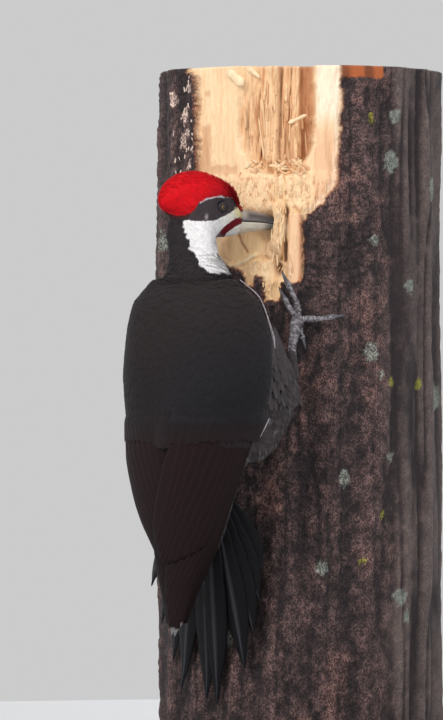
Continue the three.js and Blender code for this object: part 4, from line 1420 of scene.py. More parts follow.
def bark_surface(arc, height, hues):
    """How far the bark stands out, its colour, and how even it is."""
    turn = arc / TRUNK_RADIUS
    x, y = np.cos(turn) * 46.0, np.sin(turn) * 46.0  # so that the noise meets itself behind
    upright = turn - RIBS["start"]
    wave = 0.6 * np.sin(3 * upright + height / 90) + 0.4 * np.sin(7 * upright - height / 40)
    rib = 0.5 - 0.5 * np.cos(RIBS["count"] * upright + 0.8 * np.sin(height / 70))
    even = eased(arc + 6 * noise(height / 60, 3, 0, 4), 62, 84) * (1 - eased(arc, 190, 230))
    broad = noise(x / 11, y / 11, height / 45, 1)
    lumps = rough(x / 2.4, y / 2.4, height / 7.5, 2, 3)
    knobs = rough(x * 0.8, y * 0.8, height / 3.4, 3, 2)
    flakes = stepped(0.5 + 0.5 * noise(x / 2.6, y / 2.6, height / 9, 6), 3)
    groove = (1 - np.abs(noise(x / 3.4, y / 3.4, height / 95, 8))) ** 5
    out = (RIBS["swell"] * wave - RIBS["depth"] * rib - 1.6
           + (1.5 * lumps + 0.8 * knobs + 1.3 * flakes) * (1 - 0.7 * even) - (0.7 + 2.0 * even) * groove)
    wrinkle = band(arc, 2, 62, 10) * band(height, 380, 440, 12)
    out += 0.35 * wrinkle * np.sin(height * 1.15 + 3 * noise(arc / 12, height / 14, 0, 7))
    # The bark is lighter on its raised lumps and flakes and darker in its ribs and grooves: its own lighter
    # ridges and darker furrows, with painted light and shade over them.
    lit = np.clip(0.42 + 0.55 * lumps + 0.25 * flakes - 0.2 * rib + 0.2 * broad - 0.5 * groove, 0, 1)
    rosy = eased(broad + 0.5 * lumps, 0.05, 0.5) * (1 - eased(np.abs(arc - 20), 45, 80))
    furrow_tone_and_shade = np.clip(0.25 + 0.25 * rib + 1.1 * groove - 0.3 * lumps, 0, 1)
    grey = washed(hues["bark_grey"], hues["bark_dark"], furrow_tone_and_shade)
    colour = painted(
        hues["bark_dark"], hues, ("bark", lit), ("russet", 0.55 * rosy * lit), (grey, 0.85 * even))
    half_round = math.pi * TRUNK_RADIUS
    arc_place = (arc + half_round) % (2 * half_round) - half_round
    ragged = 1.5 * noise(arc / 2.2, height / 2.2, 5, 13)
    for where, up, radius, hue in PATCHES:
        patch = 1 - eased(np.hypot(arc_place - where, (height - up) * 0.8) + ragged, radius * 0.8, radius)
        worn = 0.8 + 0.2 * noise(arc / 1.2, height / 1.2, 0, 14)
        out = out + 0.5 * patch * worn
        colour = washed(colour, hues[hue] * worn[..., None], 0.85 * patch)
    return out, colour, even


def wood_surface(arc, height, rim, hues):
    """How far the pit's split wood lies in, and its colour. Rim is how far inside the pit a place is."""
    jag = 1.3 * noise(arc / 3.5, height / 7, 0, 15) + 0.7 * noise(arc / 1.4, height / 2.6, 0, 16)
    hollow = within(arc, height, HOLLOW_RIM) + jag
    sunk = eased(hollow, -0.8, 2.0)
    wander = arc + 1.6 * np.sin(height / 19.0) + 1.2 * noise(arc / 14, height / 30, 0, 17)
    slabs = stepped(0.5 + 0.5 * noise(wander / 6.5, height / 70, 0, 18), 4) - 0.5
    narrow = stepped(0.5 + 0.5 * noise(wander / 2.8, height / 30, 0, 19), 3) - 0.5
    fibre = noise(arc / 0.9, height / 16, 0, 20)
    torn = stepped(0.5 + 0.5 * noise(arc / 4.2, height / 5.0, 0, 21), 3) - 0.5
    pale_slab = band(wander, -36, -22.5, 0.7) * eased(height + 2 * noise(arc / 2, 1, 0, 22), 474, 480) * sunk
    tan_slab = band(wander, -17, -3.5, 0.7) * band(height + 3 * noise(arc / 2, 2, 0, 23), 472, 505, 1.5)
    tan_slab = tan_slab * sunk
    # The right wall inside the hollow lies deeper and is painted brown: painted shade.
    shaded_deep_wall = band(arc, -2, 10.5, 2.5) * sunk * eased(height, 474, 484)
    seams = (bump(wander, -39.5, 0.8) * band(height, 480, 532, 4)
             + bump(wander, -19.8, 1.1) * eased(height, 470, 476)
             + 0.7 * bump(wander, -48.5, 0.9) * band(height, 484, 520, 5)
             + 0.7 * bump(wander, -10.5, 0.6)) * sunk
    ledge = band(height, 440, 469, 4) * (1 - sunk)
    bowl = eased(1 - np.hypot((arc + 50) / 25, (height - 414) / 16), 0.0, 0.35)
    den = bump(arc, -27, 5.0) * bump(height, 432, 6.0)
    # the lip and the bridge hide the bill's tip
    lip = band(arc + 1.2 * np.sin(height / 5.0), -23.4, -17, 0.5) * band(height, 411, 445, 6)
    bridge = band(arc, -19.5, -10.5, 0.5) * band(height, 418, 437, 2.5)
    spur = eased(within(arc, height, SPUR) + 0.5 * jag, -0.4, 0.7)
    crack = bump(arc + 0.8 * np.sin(height / 9.0), -13.2, 1.3) * band(height, 403, 444, 3)
    lip_of_bowl = 1 - eased(polyline_distance(arc, height + 0.4 * jag, BOWL_RIM)[0], 0.8, 2.0)
    stroke = 1 - eased(polyline_distance(arc, height, BOWL_STROKE)[0], 0.3, 1.3)
    strip = band(arc, -11.6, -0.2, 0.8) * (height < 438 + 2 * jag)
    # A hollow under the spur, set in and painted dark orange: painted shade.
    cave = bump(arc, -18.5, 3.4) * bump(height, 398, 6.0)
    below = 1 - eased(height + jag, 402, 405)

    out = -9.5 - 2.0 * eased(rim, 3, 22) - mixed(5.0, 12.5, eased(arc, -50, -30)) * sunk - 5.5 * shaded_deep_wall
    out += (2.4 + 3.2 * sunk) * slabs + (1.2 + 1.6 * sunk) * narrow + 0.35 * fibre
    out += 4.0 * pale_slab + 2.6 * tan_slab - 4.0 * seams + 2.6 * ledge + 1.6 * torn * ledge
    out = mixed(out, -7.0 + 0.5 * fibre, bowl * (1 - spur)) - 7.0 * den * (1 - spur)
    out = mixed(out, -7.0 + 0.6 * np.sin(wander * 1.6) + 0.4 * fibre, spur)
    out = mixed(out, -1.6 - 0.25 * np.abs(arc + 21) + 0.4 * fibre, lip)
    out = mixed(out, -5.0 + 0.9 * narrow + 0.3 * fibre, strip)
    out = mixed(out, -6.5 + 1.4 * torn + 0.3 * fibre, below * (arc < -13))
    out = mixed(out, -4.6 - 0.35 * (arc + 19.5), bridge)
    out += 3.0 * lip_of_bowl - 1.2 * stroke - 5.5 * crack * (1 - 0.8 * bump(height, 428, 6)) - 8 * cave

    streak = 0.5 + 0.5 * noise(arc / 2.2, height / 42, 0, 24)
    fair = band(arc, 12.5, 31, 2.0) * eased(height, 500, 520)
    rosy = band(arc, 10, 30, 2.0) * (1 - eased(height, 494, 514)) * eased(height, 440, 452)
    # Inside the hollow the wood is painted a deeper orange-tan, less on the raised slabs: partly the wood's own
    # deeper tone, partly painted shade.
    deep_tone_and_shade = np.clip(sunk * (0.2 + 0.45 * streak - 0.9 * slabs - 0.8 * narrow), 0, 1) * (1 - 0.75 * pale_slab)
    deep_tone_and_shade *= 1 - 0.75 * eased(-arc, 36, 42)
    lines = eased(noise(arc / 1.2, height / 26, 0, 25), 0.42, 0.7) * (0.35 + 0.5 * sunk)
    spots = eased(torn, 0.15, 0.3) * ledge * 0.5
    spots = spots + eased(noise(arc / 1.5, height / 2.4, 0, 26), 0.5, 0.7) * ledge
    edge = bump(hollow, -0.2, 1.5) * (height < 500)
    # Orange torn wood along the pit's left border, and a band of painted shadow along the ledge at its left.
    orange_and_ledge_shadow = eased(noise(arc / 5, height / 9, 0, 27), 0.0, 0.5) * band(arc, -96, -83, 2)
    orange_and_ledge_shadow = np.maximum(orange_and_ledge_shadow, band(height + jag, 469, 476, 1.0) * band(arc, -97, -57, 3) * 0.9)
    shaded = np.clip(0.3 * bowl * eased(-arc, 50, 62) + 0.8 * stroke, 0, 1) * (1 - spur)
    knot = np.hypot(arc + 24, (height - 413) * 0.8)
    swirl = eased(np.sin(knot * 1.5 + 0.8 * jag), 0.5, 0.9) * (height < 424)
    blotch = eased(noise(arc / 3.6, height / 5, 0, 28), 0.05, 0.5)
    # Painted shade in the cracks and seams and in the hole round the bill's tip.
    dark = np.clip(0.75 * crack + 0.5 * seams + 0.85 * den * (1 - spur), 0, 1) * (1 - lip)
    layers = (
        ("wood_pale", 0.75 * streak * (1 - sunk)), ("wood_white", 0.9 * fair), ("wood_rosy", 0.75 * rosy),
        ("wood_deep", deep_tone_and_shade), ("wood_brown", np.clip(0.85 * shaded_deep_wall + 0.5 * tan_slab * streak, 0, 1)),
        ("wood_deep", np.clip(0.6 * lines, 0, 0.8)),
        ("wood_brown", np.clip(0.4 * lines * sunk + 0.5 * spots, 0, 0.8)), ("wood_pale", 0.6 * edge),
        ("orange", 0.4 * orange_and_ledge_shadow), ("wood_gold", 0.85 * bowl * (1 - spur)), ("wood_brown", shaded),
        ("wood_pale", 0.9 * lip_of_bowl), ("wood_brown", spur * (0.16 + 0.4 * swirl)),
        ("wood_rosy", 0.6 * strip), ("orange", 0.75 * bump(arc, -1.0, 2.0) * strip),
        ("wood_gold", below * (arc < -13) * (0.1 + 0.5 * blotch)), ("wood_dark", dark),
        (hues["orange"] * 0.4, np.clip(0.9 * cave, 0, 1)),
    )
    return out, painted(hues["wood"], hues, *layers)


def trunk_surface(arc, height, hues):
    """Radius and colour of the trunk at an arc and a height, how far it is wood and how even its bark is."""
    bark, bark_colour, even = bark_surface(arc, height, hues)
    ragged = 1.3 * noise(arc / 4, height / 8, 0, 35) + 0.9 * noise(arc / 1.6, height / 2.4, 0, 36)
    rim = within(arc, height, PIT_RIM) + ragged
    wood, wood_colour = wood_surface(arc, height, rim, hues)
    cut = eased(rim, -0.35, 0.45)
    fresh = bump(rim, 2.2, 1.9) * cut * eased(arc, -4, 6)
    peeled = band(arc + ragged, 32.5, 69, 0.8) * eased(height + 0.8 * ragged, 541, 543) * (1 - cut)
    streaks = eased(noise(arc / 4, height / 30, 0, 37), 0, 0.6)
    offset = mixed(mixed(bark, wood, cut), -5.5 + 0.8 * streaks, peeled)
    colour = painted(bark_colour, hues, (wood_colour, cut), ("wood_white", 0.55 * fresh),
                     (hues["orange"] * 0.5, 0.5 * bump(rim, -0.2, 0.8)),
                     (washed(hues["orange"], hues["orange"] * 0.3, 0.8 * streaks), peeled))
    return TRUNK_RADIUS + offset, colour, np.maximum(cut, peeled), even


def bark_look(g):
    colour = g.attribute("trunk_colour")["Color"]
    wood, even = g.attribute("wood")["Fac"], g.attribute("even")["Fac"]
    grain = g.texture_at(900, stretch=(1, 1, 0.12), detail=5, roughness=0.6)
    crust = g.texture_at(260, stretch=(1, 1, 0.8), detail=6, roughness=0.75)
    fine = g.texture_at(900, stretch=(1, 1, 0.75), detail=4, roughness=0.65)
    fleck = g.ramp(crust * 0.4 + fine * 0.6, 0.47, 0.57)
    dark, light = g.times(colour, (0.32, 0.27, 0.28)), g.times(colour, (1.9, 1.78, 1.74))
    barky = g.blend(g.blend(dark, light, fleck), colour, even * 0.6)
    woody = g.toned(colour, (0.80, 0.62, 0.42), g.ramp(grain, 0.5, 0.75) * 0.5)
    return {"colour": g.blend(barky, woody, wood), "roughness": 0.88 - wood * 0.14 + (fine - 0.5) * 0.12,
            "height": crust * (1 - wood) * 3.0 + fine * 0.5 + grain * wood * 1.2, "strength": 0.7,
            "depth": 0.0009}


def end_look(g):
    """The sawn ends: growth rings round the heart, and a dark ring of bark."""
    place = g.add("ShaderNodeTexCoord")["Object"]
    moved = g.vector("SUBTRACT", place, tuple((TRUNK + (6, 4, 0)) * MM))
    away = g.vector("LENGTH", g.vector("MULTIPLY", moved, (1.0, 1.0, 0.0)))
    wobble = g.texture_at(14, detail=3)
    rings = g.math_of("SINE", (away + wobble * 0.012) * 2300.0) * 0.5 + 0.5
    grain = g.texture_at(700, detail=4)
    heart = g.ramp(away, 0.035, 0.062)
    wood = g.blend((0.50, 0.29, 0.15), (0.74, 0.53, 0.33), heart)
    ringed = g.toned(wood, (0.55, 0.42, 0.32), (rings**3.0) * 0.7)
    sawn = g.toned(ringed, (0.7, 0.66, 0.62), g.ramp(grain, 0.4, 0.7) * 0.5)
    rim = g.ramp(away + wobble * 0.004, 0.1045, 0.1065)
    return {"colour": g.blend(sawn, (0.05, 0.037, 0.033), rim), "roughness": 0.8,
            "height": rings * 0.4 + grain, "strength": 0.4, "depth": 0.0004}


def make_trunk(hues):
    front = np.concatenate([np.arange(-138, -104, 1.7), np.arange(-104, 36, 0.97), np.arange(36, 134, 2.0)])
    back = np.linspace(134, 2 * math.pi * TRUNK_RADIUS - 138, 64)[:-1]
    arc = np.concatenate([front, back])
    height = np.concatenate([np.arange(TRUNK_FOOT + 0.8, 368, 2.4), np.arange(368, TRUNK_TOP - 0.6, 0.85)])
    arcs, heights = np.meshgrid(arc, height)
    radius, colour, wood, even = trunk_surface(arcs, heights, hues)
    turn = arc / TRUNK_RADIUS
    shares = (0.985, 0.9, 0.7, 0.4)

    def ring(radii, level):
        return stacked(TRUNK[0] + radii * np.sin(turn), TRUNK[1] - radii * np.cos(turn), level)

    lower = [ring(radius[0] * s, TRUNK_FOOT) for s in shares[::-1]]
    upper = [ring(radius[-1] * s, TRUNK_TOP) for s in shares]
    rows = np.concatenate([lower, ring(radius, heights), upper])
    points, faces = tube(rows, (TRUNK[0], TRUNK[1], TRUNK_FOOT), (TRUNK[0], TRUNK[1], TRUNK_TOP))

    def capped(values, poles):
        first, last = (np.repeat(row, len(shares), axis=0) for row in (values[:1], values[-1:]))
        return ring_of(np.concatenate([first, values, last]), poles)

    values = {"trunk_colour": capped(colour, [colour[0, 0]] * 2), "wood": capped(wood, [1.0, 1.0]),
              "even": capped(even, [0.0, 0.0])}
    piece = made("perch_trunk", points, faces, material("Bark and split wood", bark_look), values)
    piece.data.materials.append(material("Sawn end", end_look))
    levels = gathered(piece.data.polygons, "center")[:, 2] / MM
    is_end = (levels < TRUNK_FOOT + 0.25) | (levels > TRUNK_TOP - 0.12)
    piece.data.polygons.foreach_set("material_index", is_end.astype(np.int32))
    return piece


def on_trunk(arc, height, hues, lift=0.0):
    """A place on the trunk's surface, its outward direction and the direction along the arc."""
    radius = trunk_surface(np.array([float(arc)]), np.array([float(height)]), hues)[0][0] + lift
    turn = arc / TRUNK_RADIUS
    out = np.array([math.sin(turn), -math.cos(turn), 0.0])
    return TRUNK + radius * out + (0, 0, height), out, np.array([math.cos(turn), math.sin(turn), 0.0])


def add_sliver(parts, middle, along, out, length, width, thick, curl, colour, seed):
    """A split sliver of wood, its ends torn, curled away from the trunk."""
    t = inner_steps(7)
    along = unit(along)
    across = unit(np.cross(along, out))
    up = np.cross(across, along)
    bow = curl * (2 * t - 1) ** 2
    line = middle + (t - 0.5)[:, None] * length * along + bow[:, None] * up
    blunt = 2 + 4 * abs(float(noise(seed * 0.7, 1, 0, 60)))
    wide = width * (1 - np.abs(2 * t - 1) ** blunt) ** 0.5 * (1 + 0.4 * noise(t * 7, seed, 0, 61)) / 2
    corners = np.array([(-1, -0.4), (-0.8, 0.6), (0.1, 1.0), (0.9, 0.4), (1, -0.5), (0, -0.8)])
    rows = (line[:, None] + corners[:, 0, None] * wide[:, None, None] * across
            + corners[:, 1, None] * thick / 2 * up)
    first, last = (middle + end * 0.5 * length * along + curl * up for end in (-1, 1))
    points, faces = tube(rows, first, last)
    tone = colour * washed(0.8, 1.08, 0.5 + 0.5 * noise(np.arange(len(points)) / 3.0, seed, 0, 62))
    parts.add(points, faces, trunk_colour=tone, wood=np.ones(len(points)), even=np.zeros(len(points)))


# Loose wood, by place: how many, between which arcs and heights, how far it leans, stands out and curls, the
# least and the greatest length and width, and the two colours that it lies between.
SLIVERS = [
    (60, (-46, 4), (469, 480), 1.3, 0.35, 1.6, (4, 12), (1.2, 3.2), ("wood_pale", "wood_deep")),
    (56, (-52, 9), (484, 545), 0.06, 0.05, 0.5, (12, 34), (0.8, 2.6), ("wood", "wood_deep")),
    (80, (-54, 12), (440, 470), 0.35, 0.15, 0.7, (3, 8), (0.5, 1.3), ("wood_pale", "wood_deep")),
    (36, (-24, -14), (402, 462), 0.1, 0.1, 0.8, (9, 20), (0.7, 1.6), ("wood_gold", "wood_pale")),
    (40, (-46, -16), (376, 405), 0.3, 0.15, 0.6, (3, 8), (0.5, 1.3), ("wood_pale", "wood_gold")),
    (24, (-10, 24), (389, 460), 0.1, 0.1, 0.5, (5, 15), (0.6, 1.5), ("wood_rosy", "wood_pale")),
    (22, (-122, -98), (462, 546), 0.5, 0.05, 0.2, (2, 6), (0.8, 1.8), ("chip", "chip")),
]
# The larger chips: arc, height, length, width and lean
CHIPS = [(-57, 542, 19, 6.5, 0.8), (-44, 546, 13, 4.5, 0.9), (-4, 511, 17, 3.4, -1.15),
         (-22, 475.5, 16, 3, 1.5), (-12, 473, 14, 2.2, 1.5), (-46, 476, 9, 2.6, -0.9), (-6, 478, 8, 2.4, 0.8)]


def make_splinters(hues):
    """Loose chips, curled shavings and standing splinters in the pit."""
    parts = Parts()
    rng = np.random.default_rng(7)
    up = np.array([0.0, 0.0, 1.0])
    for kind, (count, arcs, heights, lean, outwards, curl, lengths, widths, pair) in enumerate(SLIVERS):
        for k in range(count):
            arc, height, length, width = (rng.uniform(*span) for span in (arcs, heights, lengths, widths))
            side, stand = rng.normal() * lean, rng.uniform(0, outwards)
            lift, share = rng.uniform(-0.2, 0.9), rng.uniform()
            in_pit = inside(np.array(arc), np.array(height), PIT_RIM)
            if pair[0] != "chip" and (not in_pit or height + length / 2 > TRUNK_TOP - 1):
                continue
            place, out, beside = on_trunk(arc, height, hues, lift)
            hue = mixed(hues[pair[0]], hues[pair[1]], share)
            way = up + beside * side + out * stand
            add_sliver(parts, place, way, out, length, width, 0.8, curl * rng.uniform(), hue, 100 * kind + k)
    for k, (arc, height, length, width, lean) in enumerate(CHIPS):
        place, out, beside = on_trunk(arc, height, hues, 1.6)
        way = up * math.cos(lean) - beside * math.sin(lean) + out * 0.2
        add_sliver(parts, place, way, out, length, width, 1.3, 0.8, hues["wood_pale"], 900 + k)
    return parts.made("perch_splinters", material("Split slivers", bark_look))


# ---------- stand ----------
def lacquer_look(g):
    grain = g.texture_at(60, stretch=(9, 1.0, 9), detail=5, roughness=0.6, wobble=0.4)
    dust = g.texture_at(240, detail=3)
    tone = g.blend((0.012, 0.010, 0.009), (0.034, 0.026, 0.022), g.ramp(grain, 0.4, 0.65))
    return {"colour": tone, "roughness": 0.34 + g.ramp(dust, 0.45, 0.8) * 0.16, "height": grain,
            "strength": 0.18, "depth": 0.0002}


def steel_look(g):
    turned = g.texture_at(700, stretch=(0.2, 0.2, 3.0), detail=2)
    return {"colour": g.blend((0.05, 0.047, 0.045), (0.10, 0.095, 0.09), turned),
            "roughness": 0.3 + turned * 0.2, "height": turned, "strength": 0.2, "depth": 0.0001}


# The base's turned edge, up from its underside or from its top, then in from its edge. The rods' collars, up
# from the base, then out from the rod.
BASE_CORNER = 26.0
BASE_FOOT = [(0, 2.2), (0.5, 0.8), (1.6, 0)]
BASE_RIM = [(-5.5, 0), (-3.6, 0.7), (-3.0, 2.4), (-2.6, 2.6), (-1.2, 3.2), (-0.3, 4.4), (0, 6.2), (0, 60)]
COLLARS = [(0, 4), (0.4, 4.6), (2.4, 4.6), (3.0, 4), (3.2, 0.6), (3.8, 0), (26.2, 0), (26.8, 0.6), (27, 3),
           (27.6, 3.6), (29.6, 3.6), (30, 3)]


def make_base():
    low, high = np.array(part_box("stand_base")) / MM
    outline = []
    for k, (sx, sy) in enumerate([(1, 1), (-1, 1), (-1, -1), (1, -1)]):
        middle = np.where([sx > 0, sy > 0], high[:2], low[:2]) - np.array([sx, sy]) * BASE_CORNER
        for turn in np.radians(np.linspace(k * 90, k * 90 + 90, 14)):
            outline.append((middle, np.array([math.cos(turn), math.sin(turn)])))
    levels = [(low[2] + up, inset) for up, inset in BASE_FOOT]
    levels += [(high[2] + up, inset) for up, inset in BASE_RIM]
    rows = []
    for level, inset in levels:
        inner = inset > BASE_CORNER  # the ring half way in on the top
        row = [m * 0.5 if inner else m + d * (BASE_CORNER - inset) for m, d in outline]
        rows.append([(*place, level) for place in row])
    points, faces = tube(np.array(rows), (0, 0, low[2]), (0, 0, high[2]))
    return made("stand_plate", points, faces, material("Dark lacquered wood", lacquer_look))


def make_rods():
    parts = Parts()
    angle = turns(48)
    for node in ("stand_rod_left", "stand_rod_right"):
        low, high = np.array(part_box(node)) / MM
        x, y, _ = (low + high) / 2
        rows = []
        for up, out in COLLARS:
            radius = (high[0] - low[0]) / 2 + out
            rows.append(stacked(x + radius * np.cos(angle), y + radius * np.sin(angle), low[2] + up))
        parts.add(*tube(np.array(rows), (x, y, low[2]), (x, y, low[2] + COLLARS[-1][0])))
    return parts.made("stand_rods", material("Blackened steel", steel_look))


# ---------- settings ----------
def paint(name, description, red, green, blue):
    """A colour as a screen shows it, from 0 to 255."""
    value = (red / 255, green / 255, blue / 255)
    return bpy.props.FloatVectorProperty(
        name=name, description=description, default=value, size=3, min=0, max=1, subtype="COLOR_GAMMA")


def amount(name, description, default, **limits):
    return bpy.props.FloatProperty(name=name, description=description, default=default, **limits)


def gap(place, feathers, size):
    """How far apart feathers grow, from millimetres."""
    return amount(place + " spacing", "Distance between the " + feathers, size * MM, unit="LENGTH")


class WoodpeckerPlumage(bpy.types.PropertyGroup):
    """Colours of the bird."""

    red: paint("Cap", "The cap's scarlet", 226, 8, 24)
    deep_red: paint("Forehead", "The deeper red of the forehead and the cap's lower edge", 168, 8, 22)
    malar: paint("Malar stripe", "The stripe behind the bill", 112, 14, 28)
    rear_blend: paint("Blend", "The dark blend under the back of the cap", 88, 36, 34)
    white: paint("White", "Cheek, neck and wing edge", 250, 247, 245)
    cream: paint("Cream", "The cheek near the bill", 232, 224, 198)
    lores: paint("Lores", "The tufts at the nostrils", 226, 214, 158)
    brow: paint("Brow", "The line over the mask", 206, 190, 194)
    mottle: paint("Mottle", "The mottled end of the malar stripe", 150, 140, 148)
    mask: paint("Mask", "The band through the eye", 70, 61, 64)
    nape: paint("Nape", "The black of the hindneck", 46, 41, 43)
    back: paint("Back", "The back's brown-black", 40, 34, 34)
    back_cool: paint("Lower back", "The bluish black lower down", 31, 30, 34)
    flank: paint("Flank", "The grey of the flanks and thighs", 78, 72, 73)
    flight: paint("Flight feathers", "The folded wings", 35, 22, 23)
    covert: paint("Coverts", "The wings' brownish coverts", 44, 34, 35)
    tail: paint("Tail", "The tail's blue-black", 17, 17, 20)
    # The tail shafts' colour is a painted highlight along the glossy shafts.
    shaft: paint("Tail shafts", "The glossy shafts of the tail", 78, 76, 82)
    edge: paint("Wing edge", "The pale line along the folded wing", 196, 186, 190)
    slate: paint("Upper bill", "The bill's slate", 74, 60, 56)
    # The culmen's colour is a painted highlight along the bill's ridge.
    culmen: paint("Culmen", "The bill's pale ridge", 140, 132, 128)
    horn: paint("Lower bill", "The bill's pale horn", 206, 196, 176)
    lid: paint("Eyelids", "The bare skin round the eye", 38, 32, 34)
    lid_edge: paint("Lid edge", "The rim of the lids", 24, 21, 23)
    foot: paint("Feet", "The scaled skin", 58, 54, 57)
    foot_pale: paint("Scutes", "The worn tops of the scutes", 178, 171, 175)
    # The creases' colour is painted shade between the scutes.
    foot_crease: paint("Creases", "Between the scutes", 32, 29, 32)
    claw: paint("Claws", "The claws' horn", 92, 88, 92)
    claw_tip: paint("Claw tips", "The claws' points", 50, 46, 48)


class WoodpeckerCoat(bpy.types.PropertyGroup):
    """Sizes of the coat."""

    face_spacing: gap("Face", "tufts of the face", 1.15)
    cap_spacing: gap("Cap", "tufts of the cap", 1.3)
    neck_spacing: gap("Neck", "tufts of the neck", 1.5)
    back_spacing: gap("Back", "vanes of the back", 2.05)
    under_spacing: gap("Belly", "loose tufts of the belly", 2.7)
    thigh_spacing: gap("Thigh", "tufts of the thighs", 2.0)


class WoodpeckerPerch(bpy.types.PropertyGroup):
    """Colours of the trunk."""

    bark: paint("Bark", "The bark's ridges", 112, 90, 86)
    bark_dark: paint("Furrows", "The bark's furrows", 42, 32, 33)
    bark_grey: paint("Grey bark", "The deeply ridged bark at the right", 112, 99, 93)
    russet: paint("Russet", "Reddish flakes of bark", 130, 94, 84)
    lichen: paint("Lichen", "Grey-green lichen", 140, 148, 138)
    lichen_yellow: paint("Yellow lichen", "Yellow-green lichen", 160, 158, 60)
    wood: paint("Wood", "Fresh split wood", 244, 206, 160)
    wood_pale: paint("Pale wood", "The palest split wood", 250, 222, 180)
    wood_deep: paint("Deep wood", "Wood deep in the pit", 228, 174, 126)
    wood_brown: paint("Brown streaks", "Streaks in the wood", 184, 122, 80)
    wood_rosy: paint("Inner bark", "The rosy rim of the pit", 240, 190, 150)
    wood_white: paint("Fair wood", "The fairest wood, beside the hollow and at the rim", 253, 236, 210)
    wood_gold: paint("Golden wood", "The wood of the bowl under the bill", 255, 213, 158)
    # This colour is painted shade in the seams and cracks and in the hole round the bill's tip.
    wood_dark: paint("Seams", "The dark seams and cracks of the wood", 112, 74, 52)
    chip: paint("Pale chips", "Pale places in the bark at the left", 228, 206, 190)
    # Orange also paints the ledge's shadow and the shade in the cave under the spur.
    orange: paint("Peeled patch", "Where the bark has peeled", 176, 92, 42)


class WoodpeckerStage(bpy.types.PropertyGroup):
    """The camera's place and the light."""

    distance: amount("Distance", "From the camera to the bird's back", 3.5, unit="LENGTH")
    floor_shade: amount("Floor", "The floor's shade", 0.55, min=0, max=1)
    wall_shade: amount("Backdrop", "The backdrop's shade", 0.60, min=0, max=1)
    sky: amount("Soft light", "Strength of the light all round", 0.85, min=0)
    key: amount("Key light", "Power of the main light", 62.0, min=0, unit="POWER")


def hues_of(*groups):
    """The colours of these settings, as light."""
    hues = {}
    for group in groups:
        for key in group.__annotations__:
            value = getattr(group, key)
            if not isinstance(value, float):
                hues[key] = linear(value[:])
    return hues


# ---------- operators ----------
class Builder(bpy.types.Operator):
    """Shared by the operators below."""

    bl_options = {"REGISTER", "UNDO"}

    def execute(self, context):
        scene = context.scene
        self.build(scene, hues_of(scene.woodpecker_plumage, scene.woodpecker_perch))
        return {"FINISHED"}


# The stage, in metres: where the lamps point, and the camera's place before it is moved back.
AIM = (0, 0, 0.3)
CAMERA = (-0.0522, -0.1, 0.3292)
LENS, SENSOR = 236.5, 36.0
LAMPS = [  # name, place, size, share of the main light's power, and colour
    ("Key", (-1.5, -2.4, 2.3), 1.6, 1.0, (1.0, 0.98, 0.95)),
    ("Fill", (2.2, -2.0, 1.0), 1.8, 0.25, (0.95, 0.97, 1.0)),
    ("Back", (0.6, 2.4, 1.8), 1.4, 0.5, (1.0, 1.0, 1.0)),
]
FLOOR = [(980, -12), (1000, -9), (1000, -2), (996, -0.05), (500, -0.05)]  # radius and height, in millimetres


class WOODPECKER_OT_stage(Builder):
    """Add the floor, the lights and the camera"""

    bl_idname = "woodpecker.stage"
    bl_label = "Stage"

    def build(self, scene, hues):
        stage = scene.woodpecker_stage
        rings = np.array([[(r * math.cos(a), r * math.sin(a), up) for a in turns(96)] for r, up in FLOOR])
        points, faces = tube(rings, (0, 0, FLOOR[0][1]), (0, 0, FLOOR[-1][1]))

        def paper(g):
            grain = g.texture_at(30, detail=4)
            level = stage.floor_shade
            colour = g.blend((level, level, level * 0.99), (level * 0.94,) * 3, grain)
            return {"colour": colour, "roughness": 0.9}

        made("floor", points, faces, material("Pale paper", paper))
        world = bpy.data.worlds.new("Soft light")
        world.use_nodes = True
        g = Graph(world.node_tree)
        lit = Value(g, world.node_tree.nodes["Background"])
        lit.node.inputs["Color"].default_value = (0.93, 0.95, 1.0, 1)
        lit.node.inputs["Strength"].default_value = stage.sky
        seen = g.add("ShaderNodeBackground", None, {"Color": (*(stage.wall_shade,) * 3, 1), "Strength": 1.0})
        ray = g.add("ShaderNodeLightPath")["Is Camera Ray"]
        both = g.add("ShaderNodeMixShader", None, {"Fac": ray, 1: lit, 2: seen})
        world.node_tree.links.new(both.socket, world.node_tree.nodes["World Output"].inputs["Surface"])
        scene.world = world
        for name, place, size, share, hue in LAMPS:
            light = bpy.data.lights.new(name, "AREA")
            light.shape, light.size, light.energy, light.color = "DISK", size, stage.key * share, hue
            lamp = bpy.data.objects.new(name, light)
            lamp.location = place
            scene.collection.objects.link(lamp)
            lamp.rotation_euler = (Vector(AIM) - lamp.location).to_track_quat("-Z", "Y").to_euler()
        camera = bpy.data.objects.new("Camera", bpy.data.cameras.new("Camera"))
        camera.location = (CAMERA[0], CAMERA[1] - stage.distance, CAMERA[2])
        camera.rotation_euler = (math.pi / 2, 0, 0)
        camera.data.sensor_width, camera.data.lens, camera.data.clip_end = SENSOR, LENS, 100
        scene.collection.objects.link(camera)
        scene.camera = camera
        scene.view_settings.view_transform = "Standard"


class WOODPECKER_OT_perch(Builder):
    """Add the trunk, its pit and its splinters"""

    bl_idname = "woodpecker.perch"
    bl_label = "Perch"

    def build(self, scene, hues):
        finished(make_trunk(hues), "bark", "perch_log")
        finished(make_splinters(hues), "bark")


class WOODPECKER_OT_stand(Builder):
    """Add the display stand"""

    bl_idname = "woodpecker.stand"
    bl_label = "Stand"

    def build(self, scene, hues):
        finished(make_base(), "stand", "stand_base")
        finished(make_rods(), "stand", "stand_rod_left", "stand_rod_right")


class WOODPECKER_OT_skin(Builder):
    """Add the one skin under the coat"""

    bl_idname = "woodpecker.skin"
    bl_label = "Skin"

    def build(self, scene, hues):
        finished(make_skin(hues), "grey_feather", *FLESH)


